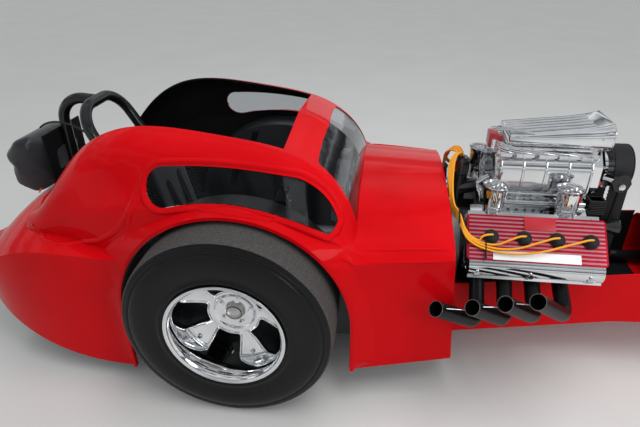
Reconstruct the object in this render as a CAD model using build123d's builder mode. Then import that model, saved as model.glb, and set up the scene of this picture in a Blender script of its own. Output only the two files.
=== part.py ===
from build123d import *
import math
import os

# Driving sizes in millimetres. Places along the car are measured forward from the rear axle,
# places across it from the centre plane (left is plus), heights from the ground.
wheelbase = 2845
tail_reach = 1290
nose_reach = 330
rear_axle_x = (tail_reach - wheelbase - nose_reach) / 2

# Clearances
seat_gap = 0.3
running_gap = 0.05
swing_gap = 6
fit_gap = 0.8

# Rear wheel and tyre
rear_tyre_r = 385
rear_tread_w = 267
rear_wheel_y = 555
rear_rim_w = 310
rear_rim_r = 208
rim_wall = 6
rim_lip = 12
rear_disc_in = 118
rear_disc_t = 34
rear_spindle_r = 30
rear_case_r = 128
window_count = 5
window_angle = 39
window_band = 6

# Front wheel and tyre
front_tyre_r = 292
front_tread_w = 88
front_wheel_y = 612
front_rim_w = 100
front_rim_r = 192
front_disc_in = 34
front_disc_t = 16
front_spindle_r = 14

# Body shell
shell_wall = 7
body_top_z = 1080
opening_half = 347
opening_front = 169
opening_rear = -911
opening_floor = 600
firewall_low_x = 818
firewall_low_z = 190
firewall_top_z = 735
firewall_lean = 40
firewall_t = 3

# Rear wheel opening and its flare
arch_r = 435
arch_z = 350
arch_floor = 20
lip_y = 585
lip_flat = 12
flare_root_y = 526
flare_inner_y = 452
skirt_front_z = 150
skirt_rear_z = 66

# Windows
glass_t = 4
glass_set = 3
screen_low_half = 400
screen_top_half = 338

# Wheel tubs and floor
tub_wall = 3
tub_inner_y = 390
floor_t = 4
floor_rear = -940
dash_x = 400
dash_t = 5

# Frame of round tube
rail_r = 28
rail_z = 236
rail_half = 235
hanger_t = 16
rail_rear = -880
nose_rail_half = 112
nose_rail_z = 312
cage_r = 23

# Engine, with its crank line and its banks at 45 degrees
crank_z = 400
bell_r = 192
pan_half = 104
axle_tube_r = 38
engine_back = 852
engine_front = 1338
bank_pitch = 115.9
plug_first = 927
plug_t = -71
deck_n = 250
cover_n = 408
cover_depth = 60
cover_low_t = -160
cover_high_t = 14
cover_back = 841
cover_front = 1332
rib_count = 11
rib_h = 4
pipe_r = 28.5
pipe_wall = 2.2
valley_z = 592
head_high_t = 44
cup_xs = (948, 1216)
cup_y = -197
cup_z = 704
cup_h = 80
cup_low_r = 40
cup_high_r = 44
cup_rim_r = 48
cup_wall = 3
cup_pad_r = 36
cup_pad_z = 640

# Blower, its drive and the injector hat
blower_back = 965
blower_front = 1305
blower_half = 140
blower_low_z = 680
blower_top_z = 885
gear_cover_r = 112
gear_cover_z = 788
gear_cover_t = 62
belt_w = 76
belt_t = 7
belt_back = 1396
top_pulley_r = 82
top_pulley_z = 798
crank_pulley_r = 92
tooth_w = 7
tooth_h = 4
tooth_count = 22
hat_wall = 5
hat_rib_h = 4
hat_rib_w = 13
hat_rib_pitch = 30

# Steering
kingpin_y = 530
kingpin_r = 10
steering_arm = 130
tie_rod_r = 11


def side(y=0):
    return Plane(origin=(rear_axle_x, y, 0), x_dir=(1, 0, 0), z_dir=(0, -1, 0))


def plan(z=0):
    return Plane(origin=(rear_axle_x, 0, z), x_dir=(1, 0, 0), z_dir=(0, 0, 1))


def station(x=0):
    return Plane(origin=(rear_axle_x + x, 0, 0), x_dir=(0, 1, 0), z_dir=(1, 0, 0))


def at(x, y, z):
    return (rear_axle_x + x, y, z)


def bank(t, n):
    """Y and z of a point of the right cylinder bank: t up along its face, n out from the crank."""
    slope = math.sqrt(0.5)
    return ((t - n) * slope, crank_z + (t + n) * slope)


def other_side(piece):
    with BuildPart() as twin:
        mirror(piece.part, about=Plane.XZ)
    return twin


def tube(points, bend_r, outer_r, wall=0):
    """A round bar or pipe along straight runs joined by tangent arcs."""
    with BuildPart() as run:
        with BuildLine() as path:
            if len(points) > 2:
                FilletPolyline(*points, radius=bend_r)
            else:
                Line(*points)
        with BuildSketch(Plane(origin=path.line @ 0, z_dir=path.line % 0)):
            Circle(outer_r)
            if wall:
                Circle(outer_r - wall, mode=Mode.SUBTRACT)
        sweep()
    return run


# Lower body sections, from tail to firewall. Columns:
# x, half width low, z low, half width at belt, z belt, half width at step, z step, z crown
lower_rows = [
    (-tail_reach, 120, 325, 125, 345, 110, 355, 370),
    (-1170, 372, 268, 382, 395, 340, 415, 462),
    (-1040, 470, 215, 478, 468, 438, 488, 575),
    (-850, 545, 145, 535, 560, 488, 575, 650),
    (-560, 574, 76, 560, 580, 500, 592, 656),
    (-300, 577, 74, 567, 588, 508, 605, 672),
    (-60, 578, 78, 571, 596, 512, 618, 690),
    (190, 576, 110, 566, 609, 515, 637, 712),
    (437, 570, 148, 556, 622, 516, 655, 733),
    (860, 488, 180, 474, 622, 448, 655, 737),
]

# Cabin sections, from tail to windscreen base. Columns:
# x, half base, z base, half waist, z waist, half shoulder, z shoulder, shoulder radius, z crown
cabin_rows = [
    (-895, 392, 560, 388, 590, 362, 628, 30, 640),
    (-800, 440, 545, 440, 625, 396, 698, 95, 712),
    (-664, 466, 540, 468, 690, 414, 862, 150, 884),
    (-480, 512, 540, 510, 750, 420, 992, 170, 1010),
    (-180, 546, 555, 540, 792, 424, 1007, 150, 1031),
    (90, 554, 560, 546, 798, 410, 966, 130, 1000),
    (283, 552, 560, 544, 748, 396, 898, 90, 944),
    (440, 544, 560, 536, 630, 424, 676, 40, 730),
]


def lower_body(inset, drop):
    """Rounded from the tail to the door, then straight from the door to the firewall."""
    with BuildPart() as body:
        for rows in (lower_rows[:-1], lower_rows[-2:]):
            for x, half_low, z_low, half_belt, z_belt, half_step, z_step, z_crown in rows:
                low = (half_low - inset, z_low - drop)
                belt = (half_belt - inset, z_belt - inset)
                step = (half_step - inset, z_step - inset)
                with BuildSketch(station(x)):
                    with BuildLine():
                        Polyline(low, belt, step)
                        ThreePointArc(step, (0, z_crown - inset), (-step[0], step[1]))
                        Polyline((-step[0], step[1]), (-belt[0], belt[1]), (-low[0], low[1]), low)
                    make_face()
            loft()
    return body


def cabin_body(inset, drop):
    with BuildPart() as body:
        for x, half_base, z_base, half_waist, z_waist, half_top, z_top, top_r, z_crown in cabin_rows:
            base = (half_base - inset, z_base - drop)
            waist = (half_waist - inset, z_waist)
            top = (half_top - inset, z_top - inset)
            with BuildSketch(station(x)) as section:
                with BuildLine():
                    Polyline(base, waist, top, (0, z_crown - inset))
                    Polyline((0, z_crown - inset), (-top[0], top[1]), (-waist[0], waist[1]),
                             (-base[0], base[1]), base)
                make_face()
                corners = section.vertices().filter_by(lambda v: abs(v.Y - top[1]) < 0.1)
                fillet(corners, top_r)
        loft()
    return body


def arch_solid(radius, y_from, y_to):
    """The wheel opening, a half circle on straight sides, between two distances to the right."""
    with BuildPart() as arch:
        with BuildSketch(side(-y_from)):
            with Locations((0, arch_z)):
                Circle(radius)
            with Locations((0, (arch_z + arch_floor) / 2)):
                Rectangle(2 * radius, arch_z - arch_floor)
        extrude(amount=y_to - y_from)
    return arch


lower_outer = lower_body(0, 0)
lower_inner = lower_body(shell_wall, 60)
lower_fill = lower_body(shell_wall + fit_gap, 60)
cabin_outer = cabin_body(0, 0)
cabin_inner = cabin_body(shell_wall, 30)
glass_outer = cabin_body(glass_set, 0)
glass_inner = cabin_body(glass_set + glass_t, 30)

# Flare round the rear wheel opening. Each outline runs up the front, over the wheel and down
# the rear; its points are x and z, with the middle point of each arc between the arc's ends.
def on_lip(angle):
    lip_r = arch_r + lip_flat
    return (lip_r * math.cos(math.radians(angle)), arch_z + lip_r * math.sin(math.radians(angle)))


lip_outline = [(arch_r + lip_flat, skirt_front_z)] + [
    on_lip(angle) for angle in (0, 18, 36, 48, 60, 90, 120, 132, 144, 162, 180)] + [
    (-arch_r - lip_flat, skirt_rear_z)]
root_outline = [
    (602, skirt_front_z), (559, 350), (535, 500), (492, 632), (366, 696), (236, 758),
    (0, 814), (-236, 758), (-366, 694), (-482, 602), (-526, 480), (-544, 350),
    (-552, skirt_rear_z),
]


def flare_outline(y, points):
    with BuildSketch(side(-y)) as outline:
        with BuildLine():
            Line(points[0], points[1])
            for first in range(1, len(points) - 2, 2):
                ThreePointArc(points[first], points[first + 1], points[first + 2])
            Polyline(points[-2], points[-1], points[0])
        make_face()
    return outline


with BuildPart() as flare:
    add(flare_outline(flare_inner_y, root_outline).sketch)
    add(flare_outline(flare_root_y, root_outline).sketch)
    add(flare_outline(lip_y, lip_outline).sketch)
    loft(ruled=True)

with BuildPart() as window_prism:
    with BuildSketch(side()) as window_outline:
        with BuildLine():
            ThreePointArc((-290, 770), (20, 816), (392, 692))
            ThreePointArc((392, 692), (345, 800), (230, 886))
            ThreePointArc((230, 886), (20, 919), (-290, 916))
            Line((-290, 916), (-290, 770))
        make_face()
        fillet(window_outline.vertices().sort_by(Axis.X)[:2], 60)
        fillet(window_outline.vertices().sort_by(Axis.X)[-1], 24)
    extrude(amount=700, both=True)

# The windscreen leans back from the cowl to the roof header.
screen_base = (435, 733)
screen_head = (283, 944)
screen_plane = Plane(origin=at(screen_base[0], 0, screen_base[1]), x_dir=(0, 1, 0),
                     z_dir=(screen_head[1] - screen_base[1], 0, screen_base[0] - screen_head[0]))
with BuildPart() as screen_prism:
    with BuildSketch(screen_plane) as screen_outline:
        with BuildLine():
            ThreePointArc((-screen_low_half, -39), (0, 8), (screen_low_half, -39))
            Line((screen_low_half, -39), (screen_top_half, 222))
            ThreePointArc((screen_top_half, 222), (0, 246), (-screen_top_half, 222))
            Line((-screen_top_half, 222), (-screen_low_half, -39))
        make_face()
        fillet(screen_outline.vertices(), 24)
    extrude(amount=70)
    extrude(screen_outline.sketch, amount=-55)


def firewall_slab(front, thickness, below):
    """A leaning slab across the car whose front face lies this far ahead of the shell's edge."""
    slope = firewall_lean / (firewall_top_z - firewall_low_z)
    low_z = firewall_low_z - below
    high_z = firewall_top_z + 100
    low_x = firewall_low_x + slope * below + front
    high_x = firewall_low_x - firewall_lean - slope * 100 + front
    with BuildPart() as slab:
        with BuildSketch(side()):
            with BuildLine():
                Polyline((low_x, low_z), (high_x, high_z), (high_x - thickness, high_z),
                         (low_x - thickness, low_z), close=True)
            make_face()
        extrude(amount=700, both=True)
    return slab


wheel_opening = arch_solid(arch_r, tub_inner_y, lip_y + 100)
with BuildPart() as coupe_shell:
    add(lower_outer.part)
    add(cabin_outer.part)
    add(flare.part)
    add(other_side(flare).part)
    add(lower_inner.part, mode=Mode.SUBTRACT)
    add(cabin_inner.part, mode=Mode.SUBTRACT)
    add(wheel_opening.part, mode=Mode.SUBTRACT)
    add(other_side(wheel_opening).part, mode=Mode.SUBTRACT)
    add(window_prism.part, mode=Mode.SUBTRACT)
    add(screen_prism.part, mode=Mode.SUBTRACT)
    add(firewall_slab(400, 400, 100).part, mode=Mode.SUBTRACT)
    with BuildSketch(plan(opening_floor)):
        with Locations(((opening_front + opening_rear) / 2, 0)):
            Rectangle(opening_front - opening_rear, 2 * opening_half)
    extrude(amount=body_top_z - opening_floor, mode=Mode.SUBTRACT)

with BuildPart() as cabin_skin:
    add(glass_outer.part)
    add(glass_inner.part, mode=Mode.SUBTRACT)

with BuildPart() as windscreen:
    add(cabin_skin.part)
    add(screen_prism.part, mode=Mode.INTERSECT)

with BuildPart() as side_windows:
    add(cabin_skin.part)
    add(window_prism.part, mode=Mode.INTERSECT)

# Firewall, floor and dash close the shell from inside.
with BuildPart() as firewall:
    add(lower_fill.part)
    add(firewall_slab(-seat_gap, firewall_t, 0).part, mode=Mode.INTERSECT)
    with BuildSketch(station(firewall_low_x - 120)):
        with Locations((0, crank_z)):
            Circle(bell_r + swing_gap)
        for toward in (-1, 1):
            with Locations((toward * rail_half, rail_z)):
                Circle(rail_r + seat_gap)
    extrude(amount=240, mode=Mode.SUBTRACT)

with BuildPart() as floor_pan:
    add(lower_fill.part)
    with Locations(at((floor_rear + firewall_low_x) / 2, 0, rail_z - rail_r - seat_gap - floor_t / 2)):
        Box(firewall_low_x - floor_rear, 1300, floor_t, mode=Mode.INTERSECT)
    add(firewall_slab(400, 400 + firewall_t + 2 * seat_gap, 100).part, mode=Mode.SUBTRACT)
    for toward in (-1, 1):
        with Locations(at(0, toward * (tub_inner_y + 200 - seat_gap), arch_z)):
            Box(2 * (arch_r + seat_gap), 400, 400, mode=Mode.SUBTRACT)

with BuildPart() as wheel_tubs:
    add(arch_solid(arch_r - seat_gap, tub_inner_y, lip_y - lip_flat).part)
    add(arch_solid(arch_r - seat_gap - tub_wall, tub_inner_y + tub_wall, lip_y).part, mode=Mode.SUBTRACT)
    with Locations(at(0, 0, arch_floor)):
        Box(1200, 1400, 2 * (skirt_front_z + 10 - arch_floor), mode=Mode.SUBTRACT)
    with BuildSketch(side(-tub_inner_y + 5)):
        with Locations((0, rear_tyre_r)):
            Circle(50)
    extrude(amount=10, mode=Mode.SUBTRACT)
    mirror(about=Plane.XZ)

# Frame rails with cross tubes, the roll hoop and its rear brace.
rail_turn_x = engine_back
rail_end_x = wheelbase - 40


def rail_place(x):
    """Distance from the centre plane and height of the rail's line at a place along the car."""
    share = max(0, (x - rail_turn_x) / (rail_end_x - rail_turn_x))
    return (rail_half + share * (nose_rail_half - rail_half), rail_z + share * (nose_rail_z - rail_z))


rail_points = [at(rail_rear, -rail_half, rail_z), at(rail_turn_x, -rail_half, rail_z),
               at(rail_end_x, -nose_rail_half, nose_rail_z)]
cross_xs = (rail_rear + rail_r, -330, 440, engine_front + 60, rail_end_x - rail_r)
with BuildPart() as frame_rails:
    add(tube(rail_points, 900, rail_r).part)
    mirror(about=Plane.XZ)
    for x in cross_xs:
        cross_half, cross_z = rail_place(x)
        with BuildSketch(side(0)):
            with Locations((x, cross_z)):
                Circle(rail_r - 5)
        extrude(amount=cross_half, both=True)
    for toward in (-1, 1):
        with BuildSketch(side(toward * rail_half - hanger_t / 2)):
            with Locations((0, (rail_z + rear_tyre_r + 52) / 2)):
                Rectangle(2 * axle_tube_r + 44, rear_tyre_r + 52 - rail_z)
            with Locations((0, rear_tyre_r)):
                Circle(axle_tube_r + seat_gap, mode=Mode.SUBTRACT)
        extrude(amount=-hanger_t)
        for x in (engine_back + 60, engine_front - 60):
            mount_half, mount_z = rail_place(x)
            with BuildSketch(side(toward * (pan_half + seat_gap))):
                with Locations((x, mount_z + 24)):
                    Circle(14)
            extrude(amount=-toward * (mount_half - pan_half))

hoop_foot_x = -330
hoop_top_x = -704
hoop_top_z = 1002

brace_x = rail_rear + rail_r - 26
with BuildPart() as roll_cage:
    hoop_half = [at(hoop_foot_x, -rail_half, rail_z), at(hoop_top_x, -155, hoop_top_z)]
    hoop_points = hoop_half + [(x, -y, z) for x, y, z in reversed(hoop_half)]
    add(tube(hoop_points, 118, cage_r).part)
    add(tube([at(hoop_top_x - 2, 0, hoop_top_z), at(brace_x, 0, hoop_top_z + 16), at(brace_x, 0, rail_z)],
             104, cage_r).part)
    for y in (-rail_half, rail_half):
        with BuildSketch(station(rail_rear)):
            with Locations((y, rail_z)):
                Circle(rail_r + seat_gap)
        extrude(amount=900, mode=Mode.SUBTRACT)
    with BuildSketch(side(0)):
        with Locations((cross_xs[0], rail_z), (cross_xs[1], rail_z)):
            Circle(rail_r - 5 + seat_gap)
    extrude(amount=rail_half, both=True, mode=Mode.SUBTRACT)
    with Locations(at(-400, 0, rail_z - 40)):
        Box(1400, 700, 80, mode=Mode.SUBTRACT)

# Seat: a reclined bucket on the cross tubes, with a plain cushion.
seat_half = 170
seat_wall = 5
seat_low_z = rail_z + rail_r - 5 + seat_gap
with BuildPart() as seat_shell:
    with BuildSketch(side()):
        with BuildLine():
            Polyline((-130, seat_low_z), (-130, 350), (-330, 360), (-455, 800), (-505, 800),
                     (-395, seat_low_z), close=True)
        make_face()
    extrude(amount=seat_half, both=True)
    with BuildSketch(side()):
        with BuildLine():
            Polyline((-120, seat_low_z + seat_wall), (-120, 420), (-325, 420), (-430, 850),
                     (-500, 850), (-388, seat_low_z + seat_wall), close=True)
        make_face()
    extrude(amount=seat_half - seat_wall, both=True, mode=Mode.SUBTRACT)
with BuildPart() as seat_pad:
    with BuildSketch(side()):
        with BuildLine():
            Polyline((-140, seat_low_z + seat_wall + seat_gap), (-140, 312), (-356, 312), (-452, 780),
                     (-478, 780), (-382, seat_low_z + seat_wall + seat_gap), close=True)
        make_face()
        fillet(vertices(), 8)
    extrude(amount=seat_half - seat_wall - 4, both=True)

# Rear axle: a central gear case, round tubes and a spindle for each wheel.
with BuildPart() as rear_axle:
    with BuildSketch(station()):
        with BuildLine():
            Polyline((0, rear_tyre_r), (0, rear_tyre_r + rear_case_r), (58, rear_tyre_r + rear_case_r - 6),
                     (96, rear_tyre_r + 78), (112, rear_tyre_r + axle_tube_r),
                     (400, rear_tyre_r + axle_tube_r), (400, rear_tyre_r + axle_tube_r + 8),
                     (412, rear_tyre_r + axle_tube_r + 8), (412, rear_tyre_r + rear_spindle_r),
                     (rear_wheel_y + 20, rear_tyre_r + rear_spindle_r), (rear_wheel_y + 20, rear_tyre_r),
                     close=True)
        make_face()
    revolve(axis=Axis(at(0, 0, rear_tyre_r), (0, 1, 0)))
    mirror(about=Plane.XZ)

pinion_x = rear_case_r + seat_gap
with BuildPart() as driveline:
    with BuildSketch(side()):
        with BuildLine():
            Polyline((pinion_x, crank_z), (pinion_x, crank_z + 42), (452, crank_z + 42), (470, crank_z + 92),
                     (640, crank_z + 96), (668, crank_z + 120), (820, crank_z + bell_r - 14),
                     (820, crank_z + bell_r), (engine_back - seat_gap, crank_z + bell_r),
                     (engine_back - seat_gap, crank_z), close=True)
        make_face()
    revolve(axis=Axis(at(0, 0, crank_z), (1, 0, 0)))

# Engine block with its pan, and one head on each bank.
with BuildPart() as engine_block:
    with BuildSketch(station(engine_back)):
        with BuildLine():
            Polyline((-pan_half, 222), (-pan_half, 330), (-168, 372), bank(-78, deck_n), bank(75, deck_n),
                     (-70, valley_z), (0, valley_z), (0, 222), close=True)
        make_face()
        mirror(about=Plane.YZ)
    extrude(amount=engine_front - engine_back)

port_t = cover_low_t + 6
head_top_n = cover_n - cover_depth - seat_gap
with BuildPart() as cylinder_heads:
    with BuildSketch(station(engine_back + 4)):
        with BuildLine():
            Polyline(bank(port_t, deck_n + seat_gap), bank(port_t, head_top_n),
                     bank(head_high_t, head_top_n), bank(head_high_t, deck_n + seat_gap), close=True)
        make_face()
    extrude(amount=engine_front - engine_back - 8)
    for x in cup_xs:
        with BuildSketch(plan(cup_pad_z)):
            with Locations((x, cup_y)):
                Circle(cup_pad_r)
        extrude(amount=cup_z - seat_gap - cup_pad_z)
    mirror(about=Plane.XZ)


def bank_plane(n):
    """Plane on the right bank's face: local x forward, local y up along the face."""
    y, z = bank(0, n)
    return Plane(origin=at(0, y, z), x_dir=(1, 0, 0), z_dir=(0, -1, 1))


with BuildPart() as valve_covers:
    with BuildSketch(bank_plane(cover_n - cover_depth)):
        with Locations(((cover_back + cover_front) / 2, (cover_low_t + cover_high_t) / 2)):
            RectangleRounded(cover_front - cover_back, cover_high_t - cover_low_t, 14)
    extrude(amount=cover_depth - rib_h)
    rib_pitch = (cover_high_t - cover_low_t - 8) / rib_count
    with BuildSketch(bank_plane(cover_n - rib_h)):
        for row in range(rib_count):
            with Locations(((cover_back + cover_front) / 2, cover_low_t + 4 + rib_pitch * (row + 0.5))):
                Rectangle(cover_front - cover_back - 16, rib_pitch * 0.45)
    extrude(amount=rib_h)
    with BuildSketch(station(cover_back + 10)):
        with BuildLine():
            ThreePointArc(bank(cover_low_t, cover_n - 6), (-414, 538), (-398, 506))
            Polyline((-398, 506), (-404, 498), (-384, 498), bank(cover_low_t, cover_n - cover_depth),
                     bank(cover_low_t, cover_n - 6))
        make_face()
    extrude(amount=cover_front - cover_back - 20)
    mirror(about=Plane.XZ)

with BuildPart() as breather_cups:
    for x in cup_xs:
        with BuildSketch(side(cup_y)):
            with BuildLine():
                Polyline((x, cup_z), (x + cup_low_r, cup_z), (x + cup_high_r, cup_z + cup_h - 10),
                         (x + cup_rim_r, cup_z + cup_h), (x + cup_rim_r - cup_wall, cup_z + cup_h),
                         (x + cup_high_r - cup_wall, cup_z + cup_h - 10),
                         (x + cup_low_r - cup_wall, cup_z + 2 * cup_wall), (x, cup_z + 2 * cup_wall),
                         close=True)
            make_face()
        revolve(axis=Axis(at(x, cup_y, 0), (0, 0, 1)))
    mirror(about=Plane.XZ)

with BuildPart() as intake_manifold:
    with BuildSketch(station(engine_back + 100)):
        with BuildLine():
            Polyline((-66, valley_z + seat_gap), (-118, 634), (-158, blower_low_z - seat_gap),
                     (158, blower_low_z - seat_gap), (118, 634), (66, valley_z + seat_gap), close=True)
        make_face()
    extrude(amount=engine_front - engine_back - 110)

with BuildPart() as blower_case:
    with BuildSketch(station(blower_back)) as case_section:
        with Locations((0, (blower_low_z + blower_top_z) / 2)):
            RectangleRounded(2 * blower_half - 12, blower_top_z - blower_low_z, 72)
        with Locations((0, blower_low_z + 8)):
            Rectangle(2 * blower_half + 16, 16)
        with Locations((0, blower_top_z - 6)):
            Rectangle(2 * blower_half - 30, 12)
    extrude(amount=blower_front - blower_back)
    for x in (blower_back, 1048, 1131, 1214, blower_front - 9):
        with BuildSketch(station(x)):
            with Locations((0, (blower_low_z + blower_top_z) / 2)):
                RectangleRounded(2 * blower_half, blower_top_z - blower_low_z - 0.4, 78)
        extrude(amount=9)

with BuildPart() as blower_front_cover:
    with BuildSketch(station(blower_front + seat_gap)):
        with Locations((0, gear_cover_z)):
            RegularPolygon(gear_cover_r, 8, rotation=22.5)
    extrude(amount=gear_cover_t)
    chamfer(blower_front_cover.faces().sort_by(Axis.X)[-1].edges(), 18)
    with BuildSketch(station(blower_front + seat_gap + gear_cover_t)):
        with Locations((0, top_pulley_z)):
            Circle(64)
    extrude(amount=belt_back - blower_front - gear_cover_t - 2 * seat_gap)

with BuildPart() as drive_pulleys:
    for z, radius in ((top_pulley_z, top_pulley_r), (crank_z, crank_pulley_r)):
        with BuildSketch(station(belt_back)):
            with Locations((0, z)):
                Circle(radius)
        extrude(amount=belt_w)
        for x in (belt_back, belt_back + belt_w - 3):
            with BuildSketch(station(x)):
                with Locations((0, z)):
                    Circle(radius + belt_t)
            extrude(amount=3)
    with BuildSketch(station(engine_front + seat_gap)):
        with Locations((0, crank_z)):
            Circle(30)
    extrude(amount=belt_back - engine_front)

# Belt teeth show on the straight runs between the pulleys.
tooth_shares = [0.11 + 0.78 * tooth / (tooth_count - 1) for tooth in range(tooth_count)]
with BuildPart() as blower_belt:
    with BuildSketch(station(belt_back + 5)):
        with Locations((0, top_pulley_z)):
            Circle(top_pulley_r + belt_t)
        with Locations((0, crank_z)):
            Circle(crank_pulley_r + belt_t)
        make_hull()
        with Locations((0, top_pulley_z)):
            Circle(top_pulley_r + seat_gap, mode=Mode.SUBTRACT)
        with Locations((0, crank_z)):
            Circle(crank_pulley_r + seat_gap, mode=Mode.SUBTRACT)
        with BuildLine():
            Polyline((-top_pulley_r - seat_gap, top_pulley_z), (-crank_pulley_r - seat_gap, crank_z),
                     (crank_pulley_r + seat_gap, crank_z), (top_pulley_r + seat_gap, top_pulley_z),
                     close=True)
        make_face(mode=Mode.SUBTRACT)
        for toward in (-1, 1):
            for share in tooth_shares:
                tooth_x = toward * (top_pulley_r + share * (crank_pulley_r - top_pulley_r))
                tooth_z = top_pulley_z + share * (crank_z - top_pulley_z)
                with Locations((tooth_x, tooth_z)):
                    Rectangle(2 * tooth_h, tooth_w)
    extrude(amount=belt_w - 10)

# Injector hat sections, from its back to its mouth. Columns:
# x, half width, z low, z top, corner radius
hat_rows = [
    (990, 98, 897, 944, 18),
    (1120, 103, 897, 958, 24),
    (1250, 108, 897, 973, 30),
    (1320, 114, 897, 986, 36),
    (1356, 121, 893, 998, 44),
]


def hat_body(inset, first_row=0):
    with BuildPart() as hat:
        for x, half, z_low, z_top, corner_r in hat_rows[first_row:]:
            with BuildSketch(station(x)):
                with Locations((0, (z_low + z_top) / 2)):
                    RectangleRounded(2 * (half - inset), z_top - z_low - 2 * inset, corner_r - inset)
        loft(ruled=True)
    return hat


hat_back = hat_rows[0][0]
hat_low_z = hat_rows[0][2]
with BuildPart() as hat_ribs:
    add(hat_body(-hat_rib_h).part)
    with BuildSketch(plan(hat_low_z + 20)):
        with Locations(((hat_back + hat_rows[-1][0]) / 2 - 30, 0)):
            with GridLocations(0, hat_rib_pitch, 1, 5):
                Rectangle(hat_rows[-1][0] - hat_back - 90, hat_rib_w)
    extrude(amount=120, mode=Mode.INTERSECT)
with BuildPart() as injector_hat:
    add(hat_body(0).part)
    add(hat_ribs.part)
    add(hat_body(hat_wall, 1).part, mode=Mode.SUBTRACT)
    with BuildSketch(plan(blower_top_z + seat_gap)):
        with Locations(((blower_back + blower_front) / 2, 0)):
            Rectangle(blower_front - blower_back - 10, 190)
    extrude(amount=hat_low_z - blower_top_z)

magneto_x = 842
housing_r = 31
cap_low_z = 746
cap_z = 812
with BuildPart() as magneto:
    with BuildSketch(side()):
        with BuildLine():
            Polyline((magneto_x, 612), (magneto_x + housing_r - 5, 612), (magneto_x + housing_r, 660),
                     (magneto_x + housing_r, cap_low_z - 8), (magneto_x + housing_r + 3, cap_low_z),
                     (magneto_x + housing_r + 3, cap_z - 12), (magneto_x + housing_r - 7, cap_z),
                     (magneto_x, cap_z), close=True)
        make_face()
    revolve(axis=Axis(at(magneto_x, 0, 0), (0, 0, 1)))
    with BuildSketch(plan(valley_z + seat_gap)):
        with Locations((magneto_x + 30, 0)):
            Rectangle(74, 52)
    extrude(amount=40)

# Exhaust pipes, each with a straight end piece. Columns: port x, elbow z, open end x, open end z
pipe_rows = [
    (897, 346, 722, 496),
    (997, 364, 841, 513),
    (1097, 388, 944, 538),
    (1197, 404, 1045, 556),
]
port_n = 297
stub_reach = 44
elbow_y = -470
pipe_end_y = -600
stub_bend_r = 160
elbow_bend_r = 48
end_share = 0.4
with BuildPart() as exhaust_pipes:
    for port_x, elbow_z, end_x, end_z in pipe_rows:
        stub = [at(port_x, *bank(port_t - reach, port_n)) for reach in (seat_gap, stub_reach)]
        elbow = Vector(*at(port_x, elbow_y, elbow_z))
        tip = Vector(*at(end_x, pipe_end_y, end_z))
        joint = elbow + (tip - elbow) * end_share
        add(tube(stub + [elbow, joint], [stub_bend_r, elbow_bend_r], pipe_r, pipe_wall).part)
        with BuildSketch(Plane(origin=joint, z_dir=tip - elbow)):
            Circle(pipe_r)
            Circle(pipe_r - pipe_wall, mode=Mode.SUBTRACT)
        extrude(amount=(tip - joint).length)
    mirror(about=Plane.XZ)

# Fuel distribution block behind the hat, with a line to each nozzle along the case.
fuel_block_x = 932
fuel_block_w = 32
with BuildPart() as fuel_lines:
    with Locations(at(fuel_block_x, -70, 922)):
        Box(fuel_block_w, 60, 56)
    with Locations(at((fuel_block_x + hat_back - seat_gap) / 2, -62, 920)):
        Box(hat_back - seat_gap - fuel_block_x, 24, 24)
    for row in range(4):
        nozzle_x = 1010 + 78 * row
        add(tube([at(fuel_block_x, -92, 900 + 8 * row), at(fuel_block_x + 13, -152, 884 + 6 * row),
                  at(nozzle_x, -136, 852)], 14, 2.5).part)


def cord_radii(points):
    """Radius at each corner: as large as the two runs beside it allow."""
    radii = []
    for before, corner, after in zip(points, points[1:], points[2:]):
        first = Vector(*corner) - Vector(*before)
        second = Vector(*after) - Vector(*corner)
        turn = math.radians(first.get_angle(second))
        radii.append(0.45 * min(first.length, second.length) / math.tan(turn / 2))
    return radii


# Plug wires: out of the cap, down the firewall side, along the cover and up to each plug.
# Columns: angle of the outlet on the cap, how low the wire runs on the cover
wire_r = 4
boot_r = 22
boot_h = 22
wire_rows = [(-90, -96), (-118, -112), (-146, -128), (-174, -144)]
with BuildPart() as plug_wires:
    for row, (outlet_angle, run_t) in enumerate(wire_rows):
        outlet_x = magneto_x + 20 * math.cos(math.radians(outlet_angle))
        outlet_y = 20 * math.sin(math.radians(outlet_angle))
        plug_x = plug_first + bank_pitch * row
        boot_y, boot_z = bank(plug_t, cover_n + 12)
        route = [at(outlet_x, outlet_y, cap_z + seat_gap), at(outlet_x, outlet_y, 844 - 2 * row),
                 at(804 - 8 * row, -52 - 4 * row, 838 - 9 * row),
                 at(795 - 3 * row, -128 - 4 * row, 754 - 9 * row),
                 at(799, -206 - 4 * row, 692 - 10 * row),
                 at(812, *bank(18 - 12 * row, cover_n + 6)),
                 at(834 + 4 * row, *bank(run_t + 30, cover_n + 14)),
                 at(884 + 50 * row, *bank(run_t, cover_n + 12)),
                 at(plug_x - boot_r + 4, boot_y, boot_z)]
        add(tube(route, cord_radii(route), wire_r).part)
        with BuildSketch(bank_plane(cover_n + seat_gap)):
            with Locations((plug_x, plug_t)):
                Circle(boot_r)
        extrude(amount=boot_h)
    mirror(about=Plane.XZ)

# Narrow front body: an open channel beside the engine, then a closed nose.
channel_wall = 4
nose_back = 1700
channel_rows = [(822, 352, 187, 425), (1480, 262, 226, 458), (nose_back, 252, 229, 478)]
# Columns: x, half width, z low, z top, corner radius
nose_rows = [
    (nose_back + seat_gap, 252, 229, 484, 50),
    (1900, 246, 232, 496, 60),
    (2400, 212, 240, 476, 66),
    (2860, 160, 250, 424, 58),
    (wheelbase + nose_reach, 70, 292, 358, 26),
]


def channel(inset, lift):
    with BuildPart() as trough:
        for x, half, z_low, z_top in channel_rows:
            with BuildSketch(station(x)):
                with BuildLine():
                    Polyline((half - inset, z_low + inset), (half - inset, z_top + lift),
                             (inset - half, z_top + lift), (inset - half, z_low + inset), close=True)
                make_face()
        loft(ruled=True)
    return trough


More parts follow.
